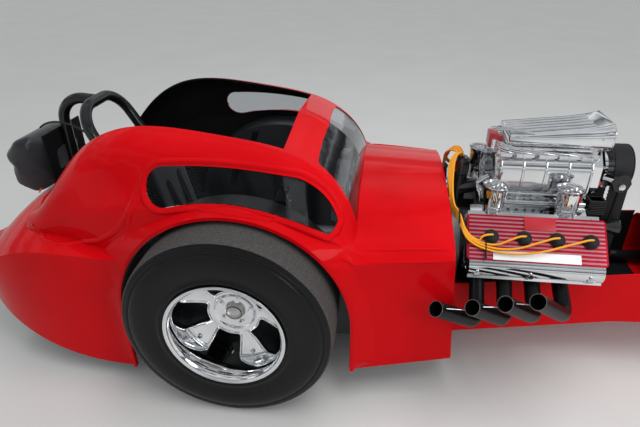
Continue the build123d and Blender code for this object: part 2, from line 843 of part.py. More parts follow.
def nose_body(inset):
    with BuildPart() as nose:
        for x, half, z_low, z_top, corner_r in nose_rows:
            with BuildSketch(station(x)):
                with Locations((0, (z_low + z_top) / 2)):
                    RectangleRounded(2 * (half - inset), z_top - z_low - 2 * inset, corner_r - inset)
        loft()
    return nose


with BuildPart() as front_side_panels:
    add(channel(0, 0).part)
    add(channel(channel_wall, 60).part, mode=Mode.SUBTRACT)

axle_hole_r = 36
with BuildPart() as nose_shell:
    add(nose_body(0).part)
    add(nose_body(channel_wall).part, mode=Mode.SUBTRACT)
    with BuildSketch(station(wheelbase + nose_reach - channel_wall)):
        with Locations((0, (292 + 358) / 2)):
            RectangleRounded(140, 66, 26)
    extrude(amount=channel_wall)
    with BuildSketch(side()):
        with Locations((wheelbase, front_tyre_r)):
            Circle(axle_hole_r)
    extrude(amount=400, both=True, mode=Mode.SUBTRACT)

# Front axle: a straight tube with an eye for each kingpin, and two radius rods to the frame.
eye_r = 22
eye_half_h = 30
rod_end = at(1900, -262, 300)
with BuildPart() as rod_boss:
    add(tube([rod_end, at(1900, 10 - nose_rows[1][1], 300)], 0, 14).part)
    add(nose_body(-seat_gap).part, mode=Mode.SUBTRACT)
with BuildPart() as front_axle:
    with BuildSketch(side()):
        with Locations((wheelbase, front_tyre_r)):
            Circle(26)
    extrude(amount=kingpin_y, both=True)
    for toward in (-1, 1):
        with BuildSketch(plan(front_tyre_r - eye_half_h)):
            with Locations((wheelbase, toward * kingpin_y)):
                Circle(eye_r)
        extrude(amount=2 * eye_half_h)
        with BuildSketch(plan(front_tyre_r - eye_half_h)):
            with Locations((wheelbase, toward * kingpin_y)):
                Circle(kingpin_r + running_gap)
        extrude(amount=2 * eye_half_h, mode=Mode.SUBTRACT)
        add(tube([at(wheelbase - 20, toward * 290, front_tyre_r),
                  (rod_end[0], -toward * rod_end[1], rod_end[2])], 0, 12).part)
        add(rod_boss.part if toward < 0 else other_side(rod_boss).part)

# Knuckles: a yoke over the axle eye, with kingpin, stub axle and steering arm.
yoke_t = 12
stub_out = front_wheel_y + front_rim_w / 2 - front_disc_in - 14
with BuildPart() as knuckle_right:
    for z in (front_tyre_r + eye_half_h + seat_gap, front_tyre_r - eye_half_h - seat_gap - yoke_t):
        with BuildSketch(plan(z)):
            with Locations((wheelbase, -kingpin_y)):
                Circle(eye_r)
            with Locations((wheelbase, -kingpin_y - 21)):
                Rectangle(32, 42)
        extrude(amount=yoke_t)
    with BuildSketch(plan(front_tyre_r - eye_half_h - seat_gap - yoke_t)):
        with Locations((wheelbase, -kingpin_y)):
            Circle(kingpin_r)
    extrude(amount=2 * (eye_half_h + seat_gap + yoke_t))
    with Locations(at(wheelbase, -kingpin_y - 36, front_tyre_r)):
        Box(32, 14, 2 * (eye_half_h + yoke_t))
    with BuildSketch(side(-kingpin_y - 40)):
        with Locations((wheelbase, front_tyre_r)):
            Circle(front_spindle_r)
    extrude(amount=stub_out - kingpin_y - 40)
    with BuildSketch(plan(front_tyre_r - eye_half_h - seat_gap - yoke_t)):
        with Locations((wheelbase - steering_arm / 2, -kingpin_y)):
            Rectangle(steering_arm, 18)
        with Locations((wheelbase - steering_arm, -kingpin_y)):
            Circle(14)
            Circle(6 + running_gap, mode=Mode.SUBTRACT)
    extrude(amount=yoke_t)
knuckle_left = other_side(knuckle_right)

arm_low_z = front_tyre_r - eye_half_h - seat_gap - yoke_t
tie_drop = 40
with BuildPart() as tie_rod:
    with BuildSketch(side()):
        with Locations((wheelbase - steering_arm, arm_low_z - seat_gap - tie_drop + tie_rod_r + 2)):
            Circle(tie_rod_r)
    extrude(amount=kingpin_y, both=True)
    for toward in (-1, 1):
        with BuildSketch(plan(arm_low_z - seat_gap - tie_drop)):
            with Locations((wheelbase - steering_arm, toward * kingpin_y)):
                Circle(15)
        extrude(amount=tie_drop)
        with BuildSketch(plan(arm_low_z - seat_gap - tie_rod_r)):
            with Locations((wheelbase - steering_arm, toward * kingpin_y)):
                Circle(6)
        extrude(amount=tie_rod_r + seat_gap + yoke_t)


def wheel_rim(rim_r, rim_w, centre_y, axle_z, along, disc_in, disc_t, bore_r, hub_r, bore_end):
    """A right-hand wheel: a lipped barrel, and a dished centre with rounded windows."""
    outer_y = centre_y + rim_w / 2
    inner_y = centre_y - rim_w / 2
    disc_out = outer_y - disc_in
    disc_back = disc_out - disc_t
    with BuildPart() as rim:
        with BuildSketch(Plane(origin=at(along, 0, axle_z), x_dir=(0, -1, 0), z_dir=(1, 0, 0))):
            with BuildLine():
                Polyline((outer_y, rim_r - rim_wall), (outer_y, rim_r + rim_lip),
                         (outer_y - 6, rim_r + rim_lip), (outer_y - 7, rim_r),
                         (inner_y + 7, rim_r), (inner_y + 6, rim_r + rim_lip),
                         (inner_y, rim_r + rim_lip), (inner_y, rim_r - rim_wall), close=True)
            make_face()
            with BuildLine():
                Polyline((disc_out, bore_r * 0.5), (disc_out, hub_r), (disc_out - disc_t * 0.7, hub_r * 1.5),
                         (disc_out - disc_t * 0.3, rim_r - rim_wall - 1), (disc_out - disc_t * 0.3, rim_r - 2),
                         (disc_back - disc_t * 0.3, rim_r - 2), (disc_back - disc_t * 0.6, hub_r * 1.4),
                         (bore_end, hub_r * 0.85), (bore_end, bore_r * 0.5), close=True)
            make_face()
        revolve(axis=Axis(at(along, 0, axle_z), (0, 1, 0)))
        with BuildSketch(side(-bore_end + 5)):
            with Locations((along, axle_z)):
                Circle(bore_r)
        extrude(amount=disc_out - 12 - bore_end + 5, mode=Mode.SUBTRACT)
        with BuildSketch(side(-disc_back + 60)) as windows:
            with Locations((along, axle_z)):
                with PolarLocations(0, window_count, start_angle=window_angle):
                    Polygon((hub_r * 1.6, -hub_r * 0.69), (rim_r * 0.72, -rim_r * 0.29),
                            (rim_r + rim_lip, -rim_r * 0.29), (rim_r + rim_lip, rim_r * 0.29),
                            (rim_r * 0.72, rim_r * 0.29), (hub_r * 1.6, hub_r * 0.69), align=None)
                Circle(rim_r - rim_wall - window_band, mode=Mode.INTERSECT)
            fillet(windows.vertices(), hub_r * 0.3)
        extrude(amount=disc_t + 90, mode=Mode.SUBTRACT)
    return rim


def tyre(tyre_r, tread_w, rim_r, rim_w, centre_y, along):
    """A right-hand tyre: a closed ring with a bulged wall and a crowned tread."""
    bead = rim_w / 2 - 8
    with BuildPart() as ring:
        with BuildSketch(Plane(origin=at(along, 0, tyre_r), x_dir=(0, -1, 0), z_dir=(1, 0, 0))):
            with BuildLine():
                Polyline((centre_y - bead, rim_r + seat_gap), (centre_y + bead, rim_r + seat_gap),
                         (centre_y + bead, rim_r + rim_lip + 1))
                ThreePointArc((centre_y + bead, rim_r + rim_lip + 1),
                              (centre_y + bead + 8, (rim_r + tyre_r) / 2 + 6),
                              (centre_y + tread_w / 2, tyre_r - 8))
                ThreePointArc((centre_y + tread_w / 2, tyre_r - 8), (centre_y, tyre_r),
                              (centre_y - tread_w / 2, tyre_r - 8))
                ThreePointArc((centre_y - tread_w / 2, tyre_r - 8),
                              (centre_y - bead - 8, (rim_r + tyre_r) / 2 + 6),
                              (centre_y - bead, rim_r + rim_lip + 1))
                Line((centre_y - bead, rim_r + rim_lip + 1), (centre_y - bead, rim_r + seat_gap))
            make_face()
        revolve(axis=Axis(at(along, 0, tyre_r), (0, 1, 0)))
    return ring


rear_wheel_right = wheel_rim(rear_rim_r, rear_rim_w, rear_wheel_y, rear_tyre_r, 0, rear_disc_in,
                             rear_disc_t, rear_spindle_r + running_gap, 64, 414)
rear_tyre_right = tyre(rear_tyre_r, rear_tread_w, rear_rim_r, rear_rim_w, rear_wheel_y, 0)
front_wheel_right = wheel_rim(front_rim_r, front_rim_w, front_wheel_y, front_tyre_r, wheelbase,
                              front_disc_in, front_disc_t, front_spindle_r + running_gap, 40, 580)
front_tyre_right = tyre(front_tyre_r, front_tread_w, front_rim_r, front_rim_w, front_wheel_y,
                        wheelbase)
rear_wheel_left = other_side(rear_wheel_right)
rear_tyre_left = other_side(rear_tyre_right)
front_wheel_left = other_side(front_wheel_right)
front_tyre_left = other_side(front_tyre_right)

# Steering column under the dash, and a two-grip wheel that turns on its end.
column_lean = 16
column_foot = (dash_x - dash_t, 640)
column_len = 470
column_dir = (-math.cos(math.radians(column_lean)), 0, math.sin(math.radians(column_lean)))
column_base = Plane(origin=at(column_foot[0], 0, column_foot[1]), x_dir=(0, 1, 0), z_dir=column_dir)
with BuildPart() as dash_panel:
    add(lower_fill.part)
    with Locations(at(dash_x - dash_t / 2, 0, 640)):
        Box(dash_t, 1300, 190, mode=Mode.INTERSECT)
    with BuildSketch(column_base.offset(-dash_t)):
        Circle(16)
    extrude(amount=column_len + dash_t)
    with BuildSketch(column_base.offset(column_len)):
        Circle(9)
    extrude(amount=40)

with BuildPart() as steering_wheel:
    with BuildSketch(column_base.offset(column_len + 8)):
        Circle(30)
        Rectangle(280, 26)
        with Locations((-140, 0), (140, 0)):
            SlotOverall(150, 26, rotation=90)
        Circle(9 + running_gap, mode=Mode.SUBTRACT)
    extrude(amount=22)

# Parachute: a soft pack on a flat tray bolted behind the tail brace.
tray_x = brace_x - cage_r - seat_gap
tray_t = 6
pack_front = tray_x - tray_t - seat_gap
pack_half = 140
with BuildPart() as parachute_tray:
    with BuildSketch(side()):
        with BuildLine():
            Polyline((tray_x, 650), (tray_x, 880), (tray_x - tray_t, 880), (tray_x - tray_t, 650),
                     close=True)
        make_face()
    extrude(amount=140, both=True)

with BuildPart() as parachute_pack:
    with BuildSketch(side()) as pack_outline:
        with BuildLine():
            Polyline((pack_front, 655), (pack_front, 858), (-1048, 862), (-1108, 790), (-1092, 650),
                     (-1010, 622), close=True)
        make_face()
        fillet(pack_outline.vertices().sort_by(Axis.X)[:4], 26)
    extrude(amount=pack_half, both=True)

pieces = {
    "coupe_shell": coupe_shell, "windscreen": windscreen,
    "side_windows": side_windows,
    "firewall": firewall, "floor_pan": floor_pan, "dash_panel": dash_panel,
    "wheel_tubs": wheel_tubs,
    "frame_rails": frame_rails, "roll_cage": roll_cage,
    "seat_shell": seat_shell, "seat_pad": seat_pad,
    "rear_axle": rear_axle, "driveline": driveline, "engine_block": engine_block,
    "cylinder_heads": cylinder_heads,
    "valve_covers": valve_covers,
    "breather_cups": breather_cups, "intake_manifold": intake_manifold,
    "blower_case": blower_case, "blower_front_cover": blower_front_cover,
    "drive_pulleys": drive_pulleys, "blower_belt": blower_belt, "injector_hat": injector_hat,
    "fuel_lines": fuel_lines, "magneto": magneto,
    "plug_wires": plug_wires, "exhaust_pipes": exhaust_pipes,
    "front_side_panels": front_side_panels, "nose_shell": nose_shell,
    "front_axle": front_axle, "knuckle_right": knuckle_right, "knuckle_left": knuckle_left,
    "tie_rod": tie_rod,
    "rear_wheel_right": rear_wheel_right, "rear_wheel_left": rear_wheel_left,
    "rear_tyre_right": rear_tyre_right, "rear_tyre_left": rear_tyre_left,
    "front_wheel_right": front_wheel_right, "front_wheel_left": front_wheel_left,
    "front_tyre_right": front_tyre_right, "front_tyre_left": front_tyre_left,
    "steering_wheel": steering_wheel,
    "parachute_pack": parachute_pack, "parachute_tray": parachute_tray,
}
os.makedirs("parts", exist_ok=True)
for label, piece in pieces.items():
    piece.part.label = label
    export_step(piece.part, f"parts/{label}.step")
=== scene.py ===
# %% [markdown]
# A drag racing coupe, dressed piece by piece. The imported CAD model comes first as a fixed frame: every
# node keeps its place, and each piece made here rides on one of its bodies. All lengths are metres, x
# runs forward, y to the left and z up, and most places are given from the rear axle line.

# %% The frame
import math

import bmesh
import bpy
from mathutils import Matrix, Vector
from mathutils.bvhtree import BVHTree


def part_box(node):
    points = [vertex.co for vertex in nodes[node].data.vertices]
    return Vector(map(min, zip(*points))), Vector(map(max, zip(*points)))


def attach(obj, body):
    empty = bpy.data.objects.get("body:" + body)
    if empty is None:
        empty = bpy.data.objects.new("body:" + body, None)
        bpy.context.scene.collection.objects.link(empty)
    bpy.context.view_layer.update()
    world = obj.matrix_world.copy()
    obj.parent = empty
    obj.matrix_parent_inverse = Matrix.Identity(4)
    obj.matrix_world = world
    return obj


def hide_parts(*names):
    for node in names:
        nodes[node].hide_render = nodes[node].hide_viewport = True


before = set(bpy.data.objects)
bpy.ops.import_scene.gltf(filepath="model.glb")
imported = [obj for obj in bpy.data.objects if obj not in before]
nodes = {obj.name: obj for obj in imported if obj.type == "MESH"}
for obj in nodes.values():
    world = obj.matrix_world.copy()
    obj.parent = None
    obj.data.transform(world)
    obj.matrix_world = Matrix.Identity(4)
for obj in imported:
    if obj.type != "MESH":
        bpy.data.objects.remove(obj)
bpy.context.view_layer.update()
tyre_low, tyre_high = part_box("rear_tyre_right")
front_low, front_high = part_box("front_tyre_right")
rear_axle_x = (tyre_low.x + tyre_high.x) / 2
rear_tyre_r = (tyre_high.z - tyre_low.z) / 2
rear_wheel_y = -(tyre_low.y + tyre_high.y) / 2
wheelbase = (front_low.x + front_high.x) / 2 - rear_axle_x
print("frame:", len(nodes), "nodes, wheelbase", round(wheelbase, 3))


def at(x, y, z):
    """A point of the car, x counted forward from the rear axle."""
    return Vector((rear_axle_x + x, y, z))


def in_scene(name, data):
    """A new object in the scene, with this mesh, curve, lamp or camera."""
    obj = bpy.data.objects.new(name, data)
    bpy.context.scene.collection.objects.link(obj)
    return obj


def node(tree, kind, operation=None, **values):
    """A node with its inputs set. An underscore in an input's name stands for a space."""
    made = tree.nodes.new(kind)
    if operation:
        made.operation = operation
    for name, value in values.items():
        made.inputs[name.replace("_", " ")].default_value = value
    return made


# %% [markdown]
# The camera stands at the height of a person beside the engine and looks down at the rear wheel. Its
# place and turn were found from points of the car whose size is known: the rear rim, the row of spark
# plugs and the roof line. A lens is a length for a 36 mm wide picture, so the picture's shape isn't
# needed here.

# %% The camera
eye = at(0.50713, -1.97066, 1.60863)
eye_yaw = math.radians(-7.41)
eye_pitch = math.radians(29.01)
eye_roll = math.radians(-0.46)
eye_lens = 28.207

forward = Vector((math.sin(eye_yaw) * math.cos(eye_pitch), math.cos(eye_yaw) * math.cos(eye_pitch),
                  -math.sin(eye_pitch)))
level_right = Vector((math.cos(eye_yaw), -math.sin(eye_yaw), 0))
level_up = level_right.cross(forward)
right = level_right * math.cos(eye_roll) + level_up * math.sin(eye_roll)
up = level_up * math.cos(eye_roll) - level_right * math.sin(eye_roll)
camera = in_scene("camera", bpy.data.cameras.new("camera"))
camera.matrix_world = Matrix((right, up, -forward)).transposed().to_4x4()
camera.location = eye
camera.data.lens = eye_lens
camera.data.clip_start = 0.05
bpy.context.scene.camera = camera
bpy.context.scene.view_settings.view_transform = "Standard"
print("camera at", [round(value, 3) for value in camera.location])

# %% [markdown]
# A pale floor and soft light. The sky light does most of the work, and two large lamps above add to it.
# Only the front lamp shows in reflections, so it alone adds the long soft highlights that polished metal
# and paint need. The camera, glass and mirrors all see one backdrop: plain and pale near the floor, with
# soft bands higher up, bent a little by noise, so chrome has something to show.

# %% Floor, backdrop and lamps
floor_half = 40
floor_mesh = bpy.data.meshes.new("floor")
floor_mesh.from_pydata([(-floor_half, -floor_half, 0), (floor_half, -floor_half, 0),
                        (floor_half, floor_half, 0), (-floor_half, floor_half, 0)], [], [(0, 1, 2, 3)])
floor = in_scene("floor", floor_mesh)

world = bpy.data.worlds.new("studio")
world.use_nodes = True
bpy.context.scene.world = world
sky = world.node_tree
sky.nodes.clear()
sky_lit_strength = 0.7
band_bend = 0.24
bend_from, bend_to = 0.12, 0.36
place = node(sky, "ShaderNodeTexCoord")
height = node(sky, "ShaderNodeSeparateXYZ")
clouds = node(sky, "ShaderNodeTexNoise", Scale=4.0, Detail=2.0)
shift = node(sky, "ShaderNodeMapRange", To_Min=-band_bend, To_Max=band_bend)
growth = node(sky, "ShaderNodeMapRange", From_Min=bend_from, From_Max=bend_to)
bend = node(sky, "ShaderNodeMath", "MULTIPLY")
bent_height = node(sky, "ShaderNodeMath", "ADD")
ramp = node(sky, "ShaderNodeValToRGB")
seen = node(sky, "ShaderNodeBackground")
lit = node(sky, "ShaderNodeBackground", Color=(0.96, 0.98, 1, 1), Strength=sky_lit_strength)
either = node(sky, "ShaderNodeMath", "MAXIMUM")
any_ray = node(sky, "ShaderNodeMath", "MAXIMUM")
rays = node(sky, "ShaderNodeLightPath")
mixed = node(sky, "ShaderNodeMixShader")
out = node(sky, "ShaderNodeOutputWorld")
for source, output, target, socket in (
        (place, "Generated", height, 0), (place, "Generated", clouds, "Vector"),
        (clouds, "Fac", shift, "Value"), (height, "Z", growth, "Value"),
        (shift, "Result", bend, 0), (growth, "Result", bend, 1),
        (height, "Z", bent_height, 0), (bend, 0, bent_height, 1), (bent_height, 0, ramp, "Fac"),
        (ramp, "Color", seen, "Color"), (rays, "Is Camera Ray", either, 0), (rays, "Is Glossy Ray", either, 1),
        (either, 0, any_ray, 0), (rays, "Is Transmission Ray", any_ray, 1), (any_ray, 0, mixed, "Fac"),
        (lit, 0, mixed, 1), (seen, 0, mixed, 2), (mixed, 0, out, "Surface")):
    sky.links.new(source.outputs[output], target.inputs[socket])

# Columns: height, grey
sky_bands = [(0.0, 0.80), (0.15, 0.80), (0.20, 0.07), (0.28, 0.13), (0.34, 0.32), (0.38, 0.90), (0.44, 0.12),
             (0.52, 0.60), (0.57, 0.95), (0.65, 0.32), (0.73, 0.12), (0.81, 0.50), (0.9, 0.8), (1.0, 0.45)]
while len(ramp.color_ramp.elements) < len(sky_bands):
    ramp.color_ramp.elements.new(0.5)
for element, (position, grey) in zip(ramp.color_ramp.elements, sky_bands):
    element.position = position
    element.color = (grey * 0.97, grey, grey * 1.03, 1)

# Columns: name, place, point it looks at, width, length, watts
lamps = [
    ("overhead_lamp", (0.4, -1.0, 4.2), (0.0, 0.0, 0.4), 1.4, 3.4, 96),
    ("front_lamp", (3.6, -3.4, 3.0), (0.2, 0.0, 0.5), 1.4, 2.4, 60),
]
for name, place, target, wide, long, watts in lamps:
    lamp_data = bpy.data.lights.new(name, "AREA")
    lamp_data.shape = "RECTANGLE"
    lamp_data.size = wide
    lamp_data.size_y = long
    lamp_data.energy = watts
    lamp = in_scene(name, lamp_data)
    lamp.location = place
    lamp.rotation_euler = (Vector(target) - Vector(place)).to_track_quat("-Z", "Y").to_euler()
    lamp.visible_glossy = name == "front_lamp"
print("floor and", len(lamps), "lamps")

# %% [markdown]
# Every finish is a small set of shader nodes. They share three steps: a noise laid over the piece by
# its own coordinates, a ramp that turns it into two close colours or two close roughnesses, and a bump.

# %% Steps that the finishes share


def new_finish(name, color, rough, metal=0.0):
    """A material with its plain values set. Returns it, its node tree and its shader."""
    made = bpy.data.materials.new(name)
    made.use_nodes = True
    shader = made.node_tree.nodes["Principled BSDF"]
    shader.inputs["Base Color"].default_value = (*color, 1)
    shader.inputs["Roughness"].default_value = rough
    shader.inputs["Metallic"].default_value = metal
    return made, made.node_tree, shader


def noise_over(tree, scale, detail=2.0, stretch=(1, 1, 1)):
    """Noise from 0 to 1 that stays with the piece as it moves."""
    place = node(tree, "ShaderNodeTexCoord")
    mapping = node(tree, "ShaderNodeMapping", Scale=stretch)
    noise = node(tree, "ShaderNodeTexNoise", Scale=scale, Detail=detail)
    tree.links.new(place.outputs["Object"], mapping.inputs["Vector"])
    tree.links.new(mapping.outputs["Vector"], noise.inputs["Vector"])
    return noise.outputs["Fac"]


def two_tone(tree, pattern, low, high, edges=(0.35, 0.65)):
    """Colours or greys that the pattern fades between."""
    ramp = node(tree, "ShaderNodeValToRGB")
    for element, position, color in zip(ramp.color_ramp.elements, edges, (low, high)):
        element.position = position
        element.color = (*color, 1)
    tree.links.new(pattern, ramp.inputs["Fac"])
    return ramp.outputs["Color"]


def vary_rough(tree, shader, pattern, low, high):
    """Roughness that follows the pattern between two values."""
    spread = node(tree, "ShaderNodeMapRange", To_Min=low, To_Max=high)
    tree.links.new(pattern, spread.inputs["Value"])
    tree.links.new(spread.outputs["Result"], shader.inputs["Roughness"])


def bump_from(tree, shader, pattern, depth, strength=0.3):
    """Small heights, with depth in metres."""
    bump = node(tree, "ShaderNodeBump", Strength=strength, Distance=depth)
    tree.links.new(pattern, bump.inputs["Height"])
    tree.links.new(bump.outputs["Normal"], shader.inputs["Normal"])


def paint(name, color, shade, rough, coat=0.0, wave=0.0, shine=0.5, coat_ior=1.5):
    """Sprayed paint: a colour that drifts a little and, with a clear coat, a faint orange peel."""
    made, tree, shader = new_finish(name, color, rough)
    shader.inputs["Specular IOR Level"].default_value = shine
    drift = noise_over(tree, 3.0)
    tree.links.new(two_tone(tree, drift, shade, color), shader.inputs["Base Color"])
    vary_rough(tree, shader, noise_over(tree, 14.0), rough * 0.85, rough * 1.2)
    shader.inputs["Coat Weight"].default_value = coat
    shader.inputs["Coat Roughness"].default_value = 0.02
    shader.inputs["Coat IOR"].default_value = coat_ior
    if wave:
        bump_from(tree, shader, noise_over(tree, 260.0), wave)
    return made


def metal(name, color, shade, rough_low, rough_high, grain=90.0, depth=0.00004, stretch=(1, 1, 1)):
    """Bare metal: two close tones, patches of finer and coarser polish, and a shallow grain."""
    made, tree, shader = new_finish(name, color, rough_low, 1.0)
    patches = noise_over(tree, 11.0, 3.0, stretch)
    tree.links.new(two_tone(tree, patches, shade, color), shader.inputs["Base Color"])
    vary_rough(tree, shader, noise_over(tree, grain, 3.0, stretch), rough_low, rough_high)
    bump_from(tree, shader, noise_over(tree, grain, 3.0, stretch), depth)
    return made


# %% [markdown]
# The car needs two families of finish. Paint, plastic and rubber are a colour under more or less shine,
# and bare metal is a grey that mirrors, sharper the better it is polished. Each row below is one
# finish, with its colour first, because rows are easier to compare than a page of calls.

# %% Finishes of the car
# Columns: colour, its shade, roughness, coat, height of its waves, shine, ior of the coat
paints = {
    "gloss_red": ((0.56, 0.002, 0.005), (0.49, 0.0015, 0.004), 0.4, 0.5, 0.000006, 0.02, 1.2),
    "deep_black": ((0.008, 0.008, 0.009), (0.005, 0.005, 0.006), 0.6, 0.0, 0.0, 0.12),
    "tub_black": ((0.03, 0.032, 0.036), (0.016, 0.017, 0.02), 0.3, 0.2, 0.00006, 0.25),
    "tube_black": ((0.006, 0.006, 0.007), (0.004, 0.004, 0.005), 0.3, 0.6, 0.0, 0.2),
    "iron_black": ((0.025, 0.025, 0.027), (0.014, 0.014, 0.015), 0.5, 0.0, 0.0002),
    "pipe_black": ((0.005, 0.005, 0.0055), (0.003, 0.003, 0.0035), 0.3, 0.0, 0.00006, 0.16),
    "pad_red": ((0.44, 0.012, 0.025), (0.37, 0.009, 0.018), 0.4),
    "cap_black": ((0.012, 0.012, 0.013), (0.008, 0.008, 0.009), 0.16, 0.5),
    "block_red": ((0.32, 0.008, 0.014), (0.24, 0.005, 0.010), 0.3, 0.3),
    "gauge_face": ((0.5, 0.5, 0.49), (0.42, 0.42, 0.41), 0.3, 0.8),
    "strap_grey": ((0.022, 0.022, 0.024), (0.013, 0.013, 0.014), 0.7, 0.0, 0.0, 0.2),
    "tag_orange": ((0.85, 0.16, 0.01), (0.75, 0.12, 0.01), 0.4),
    "belt_rubber": ((0.018, 0.018, 0.02), (0.011, 0.011, 0.012), 0.6, 0.0, 0.0001, 0.25),
    "tyre_side": ((0.006, 0.006, 0.007), (0.004, 0.004, 0.0045), 0.26, 0.0, 0.00004, 0.2),
    "boot_black": ((0.014, 0.014, 0.015), (0.009, 0.009, 0.01), 0.5, 0.0, 0.00008, 0.3),
    "wire_yellow": ((0.82, 0.36, 0.015), (0.7, 0.27, 0.01), 0.35),
    "white_plate": ((0.86, 0.86, 0.85), (0.78, 0.78, 0.77), 0.4),
}
# Columns: colour, its shade, least and most roughness, scale of the grain, its depth
metals = {
    "polished": ((0.78, 0.785, 0.795), (0.68, 0.69, 0.70), 0.06, 0.16, 90.0, 0.000006),
    "mirror": ((0.84, 0.845, 0.855), (0.76, 0.77, 0.78), 0.02, 0.05, 90.0, 0.000002),
    "cast_grey": ((0.62, 0.62, 0.61), (0.46, 0.46, 0.455), 0.34, 0.55, 160.0, 0.0003),
    "cap_grey": ((0.56, 0.55, 0.53), (0.40, 0.39, 0.38), 0.3, 0.45, 120.0),
    "dull_grey": ((0.34, 0.33, 0.32), (0.22, 0.21, 0.2), 0.3, 0.5, 120.0, 0.0001),
    "cover_red": ((0.66, 0.024, 0.055), (0.56, 0.016, 0.04), 0.32, 0.46, 70.0),
    "rib_polish": ((0.80, 0.34, 0.38), (0.70, 0.26, 0.30), 0.26, 0.40, 120.0),
    "blade_metal": ((0.80, 0.80, 0.80), (0.66, 0.66, 0.66), 0.14, 0.3, 120.0),
    "housing_grey": ((0.10, 0.10, 0.105), (0.06, 0.06, 0.063), 0.22, 0.38, 120.0),
    "throat_grey": ((0.34, 0.34, 0.35), (0.24, 0.24, 0.25), 0.25, 0.4),
}
finish = {name: paint(name, *values) for name, values in paints.items()}
finish.update({name: metal(name, *values) for name, values in metals.items()})


def clear_plastic(name, ior, wave_scale, wave_depth):
    """Thin clear sheet: it mirrors at a glance, a little wavy, and lets the dark cabin show."""
    made, tree, shader = new_finish(name, (0.60, 0.62, 0.645), 0.02)
    shader.inputs["Transmission Weight"].default_value = 1.0
    shader.inputs["IOR"].default_value = ior
    bump_from(tree, shader, noise_over(tree, wave_scale), wave_depth, 0.2)
    return made


def pack_cloth(name, color, shade, weave=900.0):
    """Close woven cloth, with a fine weave and a soft sheen at its edges."""
    made, tree, shader = new_finish(name, color, 0.8)
    tree.links.new(two_tone(tree, noise_over(tree, 22.0, 4.0), shade, color), shader.inputs["Base Color"])
    bump_from(tree, shader, noise_over(tree, weave, 2.0), 0.0004, 0.5)
    shader.inputs["Sheen Weight"].default_value = 0.3
    return made


finish["clear_sheet"] = clear_plastic("clear_sheet", 1.18, 7.0, 0.0004)
finish["screen_sheet"] = clear_plastic("screen_sheet", 1.4, 11.0, 0.004)
finish["pack_cloth"] = pack_cloth("pack_cloth", (0.008, 0.009, 0.013), (0.004, 0.0045, 0.007))
finish["seat_cloth"] = pack_cloth("seat_cloth", (0.010, 0.010, 0.011), (0.006, 0.006, 0.007))
floor_finish, floor_tree, floor_shader = new_finish("floor_grey", (0.60, 0.60, 0.59), 0.9)
floor_tree.links.new(two_tone(floor_tree, noise_over(floor_tree, 1.5), (0.59, 0.59, 0.58), (0.61, 0.61, 0.60)),
                     floor_shader.inputs["Base Color"])
floor_mesh.materials.append(floor_finish)
print(len(finish), "finishes")

# %% [markdown]
# Two kinds of work come back in every piece. A mesh is built with bmesh and then settled: its
# modifiers are applied and its place stays in its vertices. A repeated thing, such as a bolt, is placed
# by Geometry Nodes on a mesh of single points, and the result is made a plain mesh too.

# %% Building and settling a piece


def settle(obj):
    """Applies every modifier, or turns a curve into a mesh, and returns one plain mesh object."""
    bpy.context.view_layer.update()
    evaluated = obj.evaluated_get(bpy.context.evaluated_depsgraph_get())
    mesh = bpy.data.meshes.new_from_object(evaluated)
    mesh.transform(obj.matrix_world)
    name, old_data = obj.name, obj.data
    bpy.data.objects.remove(obj)
    mesh.name = name
    made = in_scene(name, mesh)
    if old_data.users == 0 and isinstance(old_data, bpy.types.Mesh):
        bpy.data.meshes.remove(old_data)
    return made


def object_of(name, shape, *finish_names):
    """An object from a bmesh, with its finishes in slot order."""
    mesh = bpy.data.meshes.new(name)
    shape.to_mesh(mesh)
    shape.free()
    for finish_name in finish_names:
        mesh.materials.append(finish[finish_name])
    return in_scene(name, mesh)


def smooth_by_angle(obj, degrees=35):
    """Round faces shade smooth and edges sharper than this stay crisp."""
    shape = bmesh.new()
    shape.from_mesh(obj.data)
    for face in shape.faces:
        face.smooth = True
    for edge in shape.edges:
        edge.smooth = not (len(edge.link_faces) == 2 and edge.calc_face_angle() > math.radians(degrees))
    shape.to_mesh(obj.data)
    shape.free()
    return obj


def even_shading(obj):
    """Large flat faces lead the shading, so a narrow rounding beside them leaves no streak."""
    obj.modifiers.new("weights", "WEIGHTED_NORMAL").keep_sharp = True
    return settle(obj)


def refine(obj, levels=0, bevel=0.0, segments=2, bevel_angle=30):
    """Rounds the edges, subdivides, and settles."""
    if bevel:
        rounding = obj.modifiers.new("rounding", "BEVEL")
        rounding.width = bevel
        rounding.segments = segments
        rounding.limit_method = "ANGLE"
        rounding.angle_limit = math.radians(bevel_angle)
    if levels:
        subdivision = obj.modifiers.new("subdivision", "SUBSURF")
        subdivision.levels = levels
        subdivision.render_levels = levels
    return settle(obj)


def fit(obj, body, *stands_for):
    """Rides the piece on its body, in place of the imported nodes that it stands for."""
    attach(obj, body)
    if stands_for:
        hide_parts(*stands_for)
    return obj


def twin(obj, name, body, *stands_for):
    """The same piece on the other side of the car."""
    mesh = obj.data.copy()
    mesh.transform(Matrix.Diagonal((1, -1, 1, 1)))
    mesh.flip_normals()
    mesh.name = name
    return fit(in_scene(name, mesh), body, *stands_for)


# %% [markdown]
# Most forms are rings of corners with faces between them. A lathe makes the rings by turning a profile,
# a strap or a rib makes them along its run, and a round bar gets them from a curve with a bevel.

# %% Rings, lathed forms and bars


def bridge(shape, rings, capped=False):
    """Faces from each ring of corners to the next, and over both ends if capped."""
    for first, second in zip(rings, rings[1:]):
        for step in range(len(first)):
            following = (step + 1) % len(first)
            shape.faces.new((first[step], first[following], second[following], second[step]))
    if capped:
        shape.faces.new(rings[0])
        shape.faces.new(list(reversed(rings[-1])))
    bmesh.ops.recalc_face_normals(shape, faces=shape.faces)


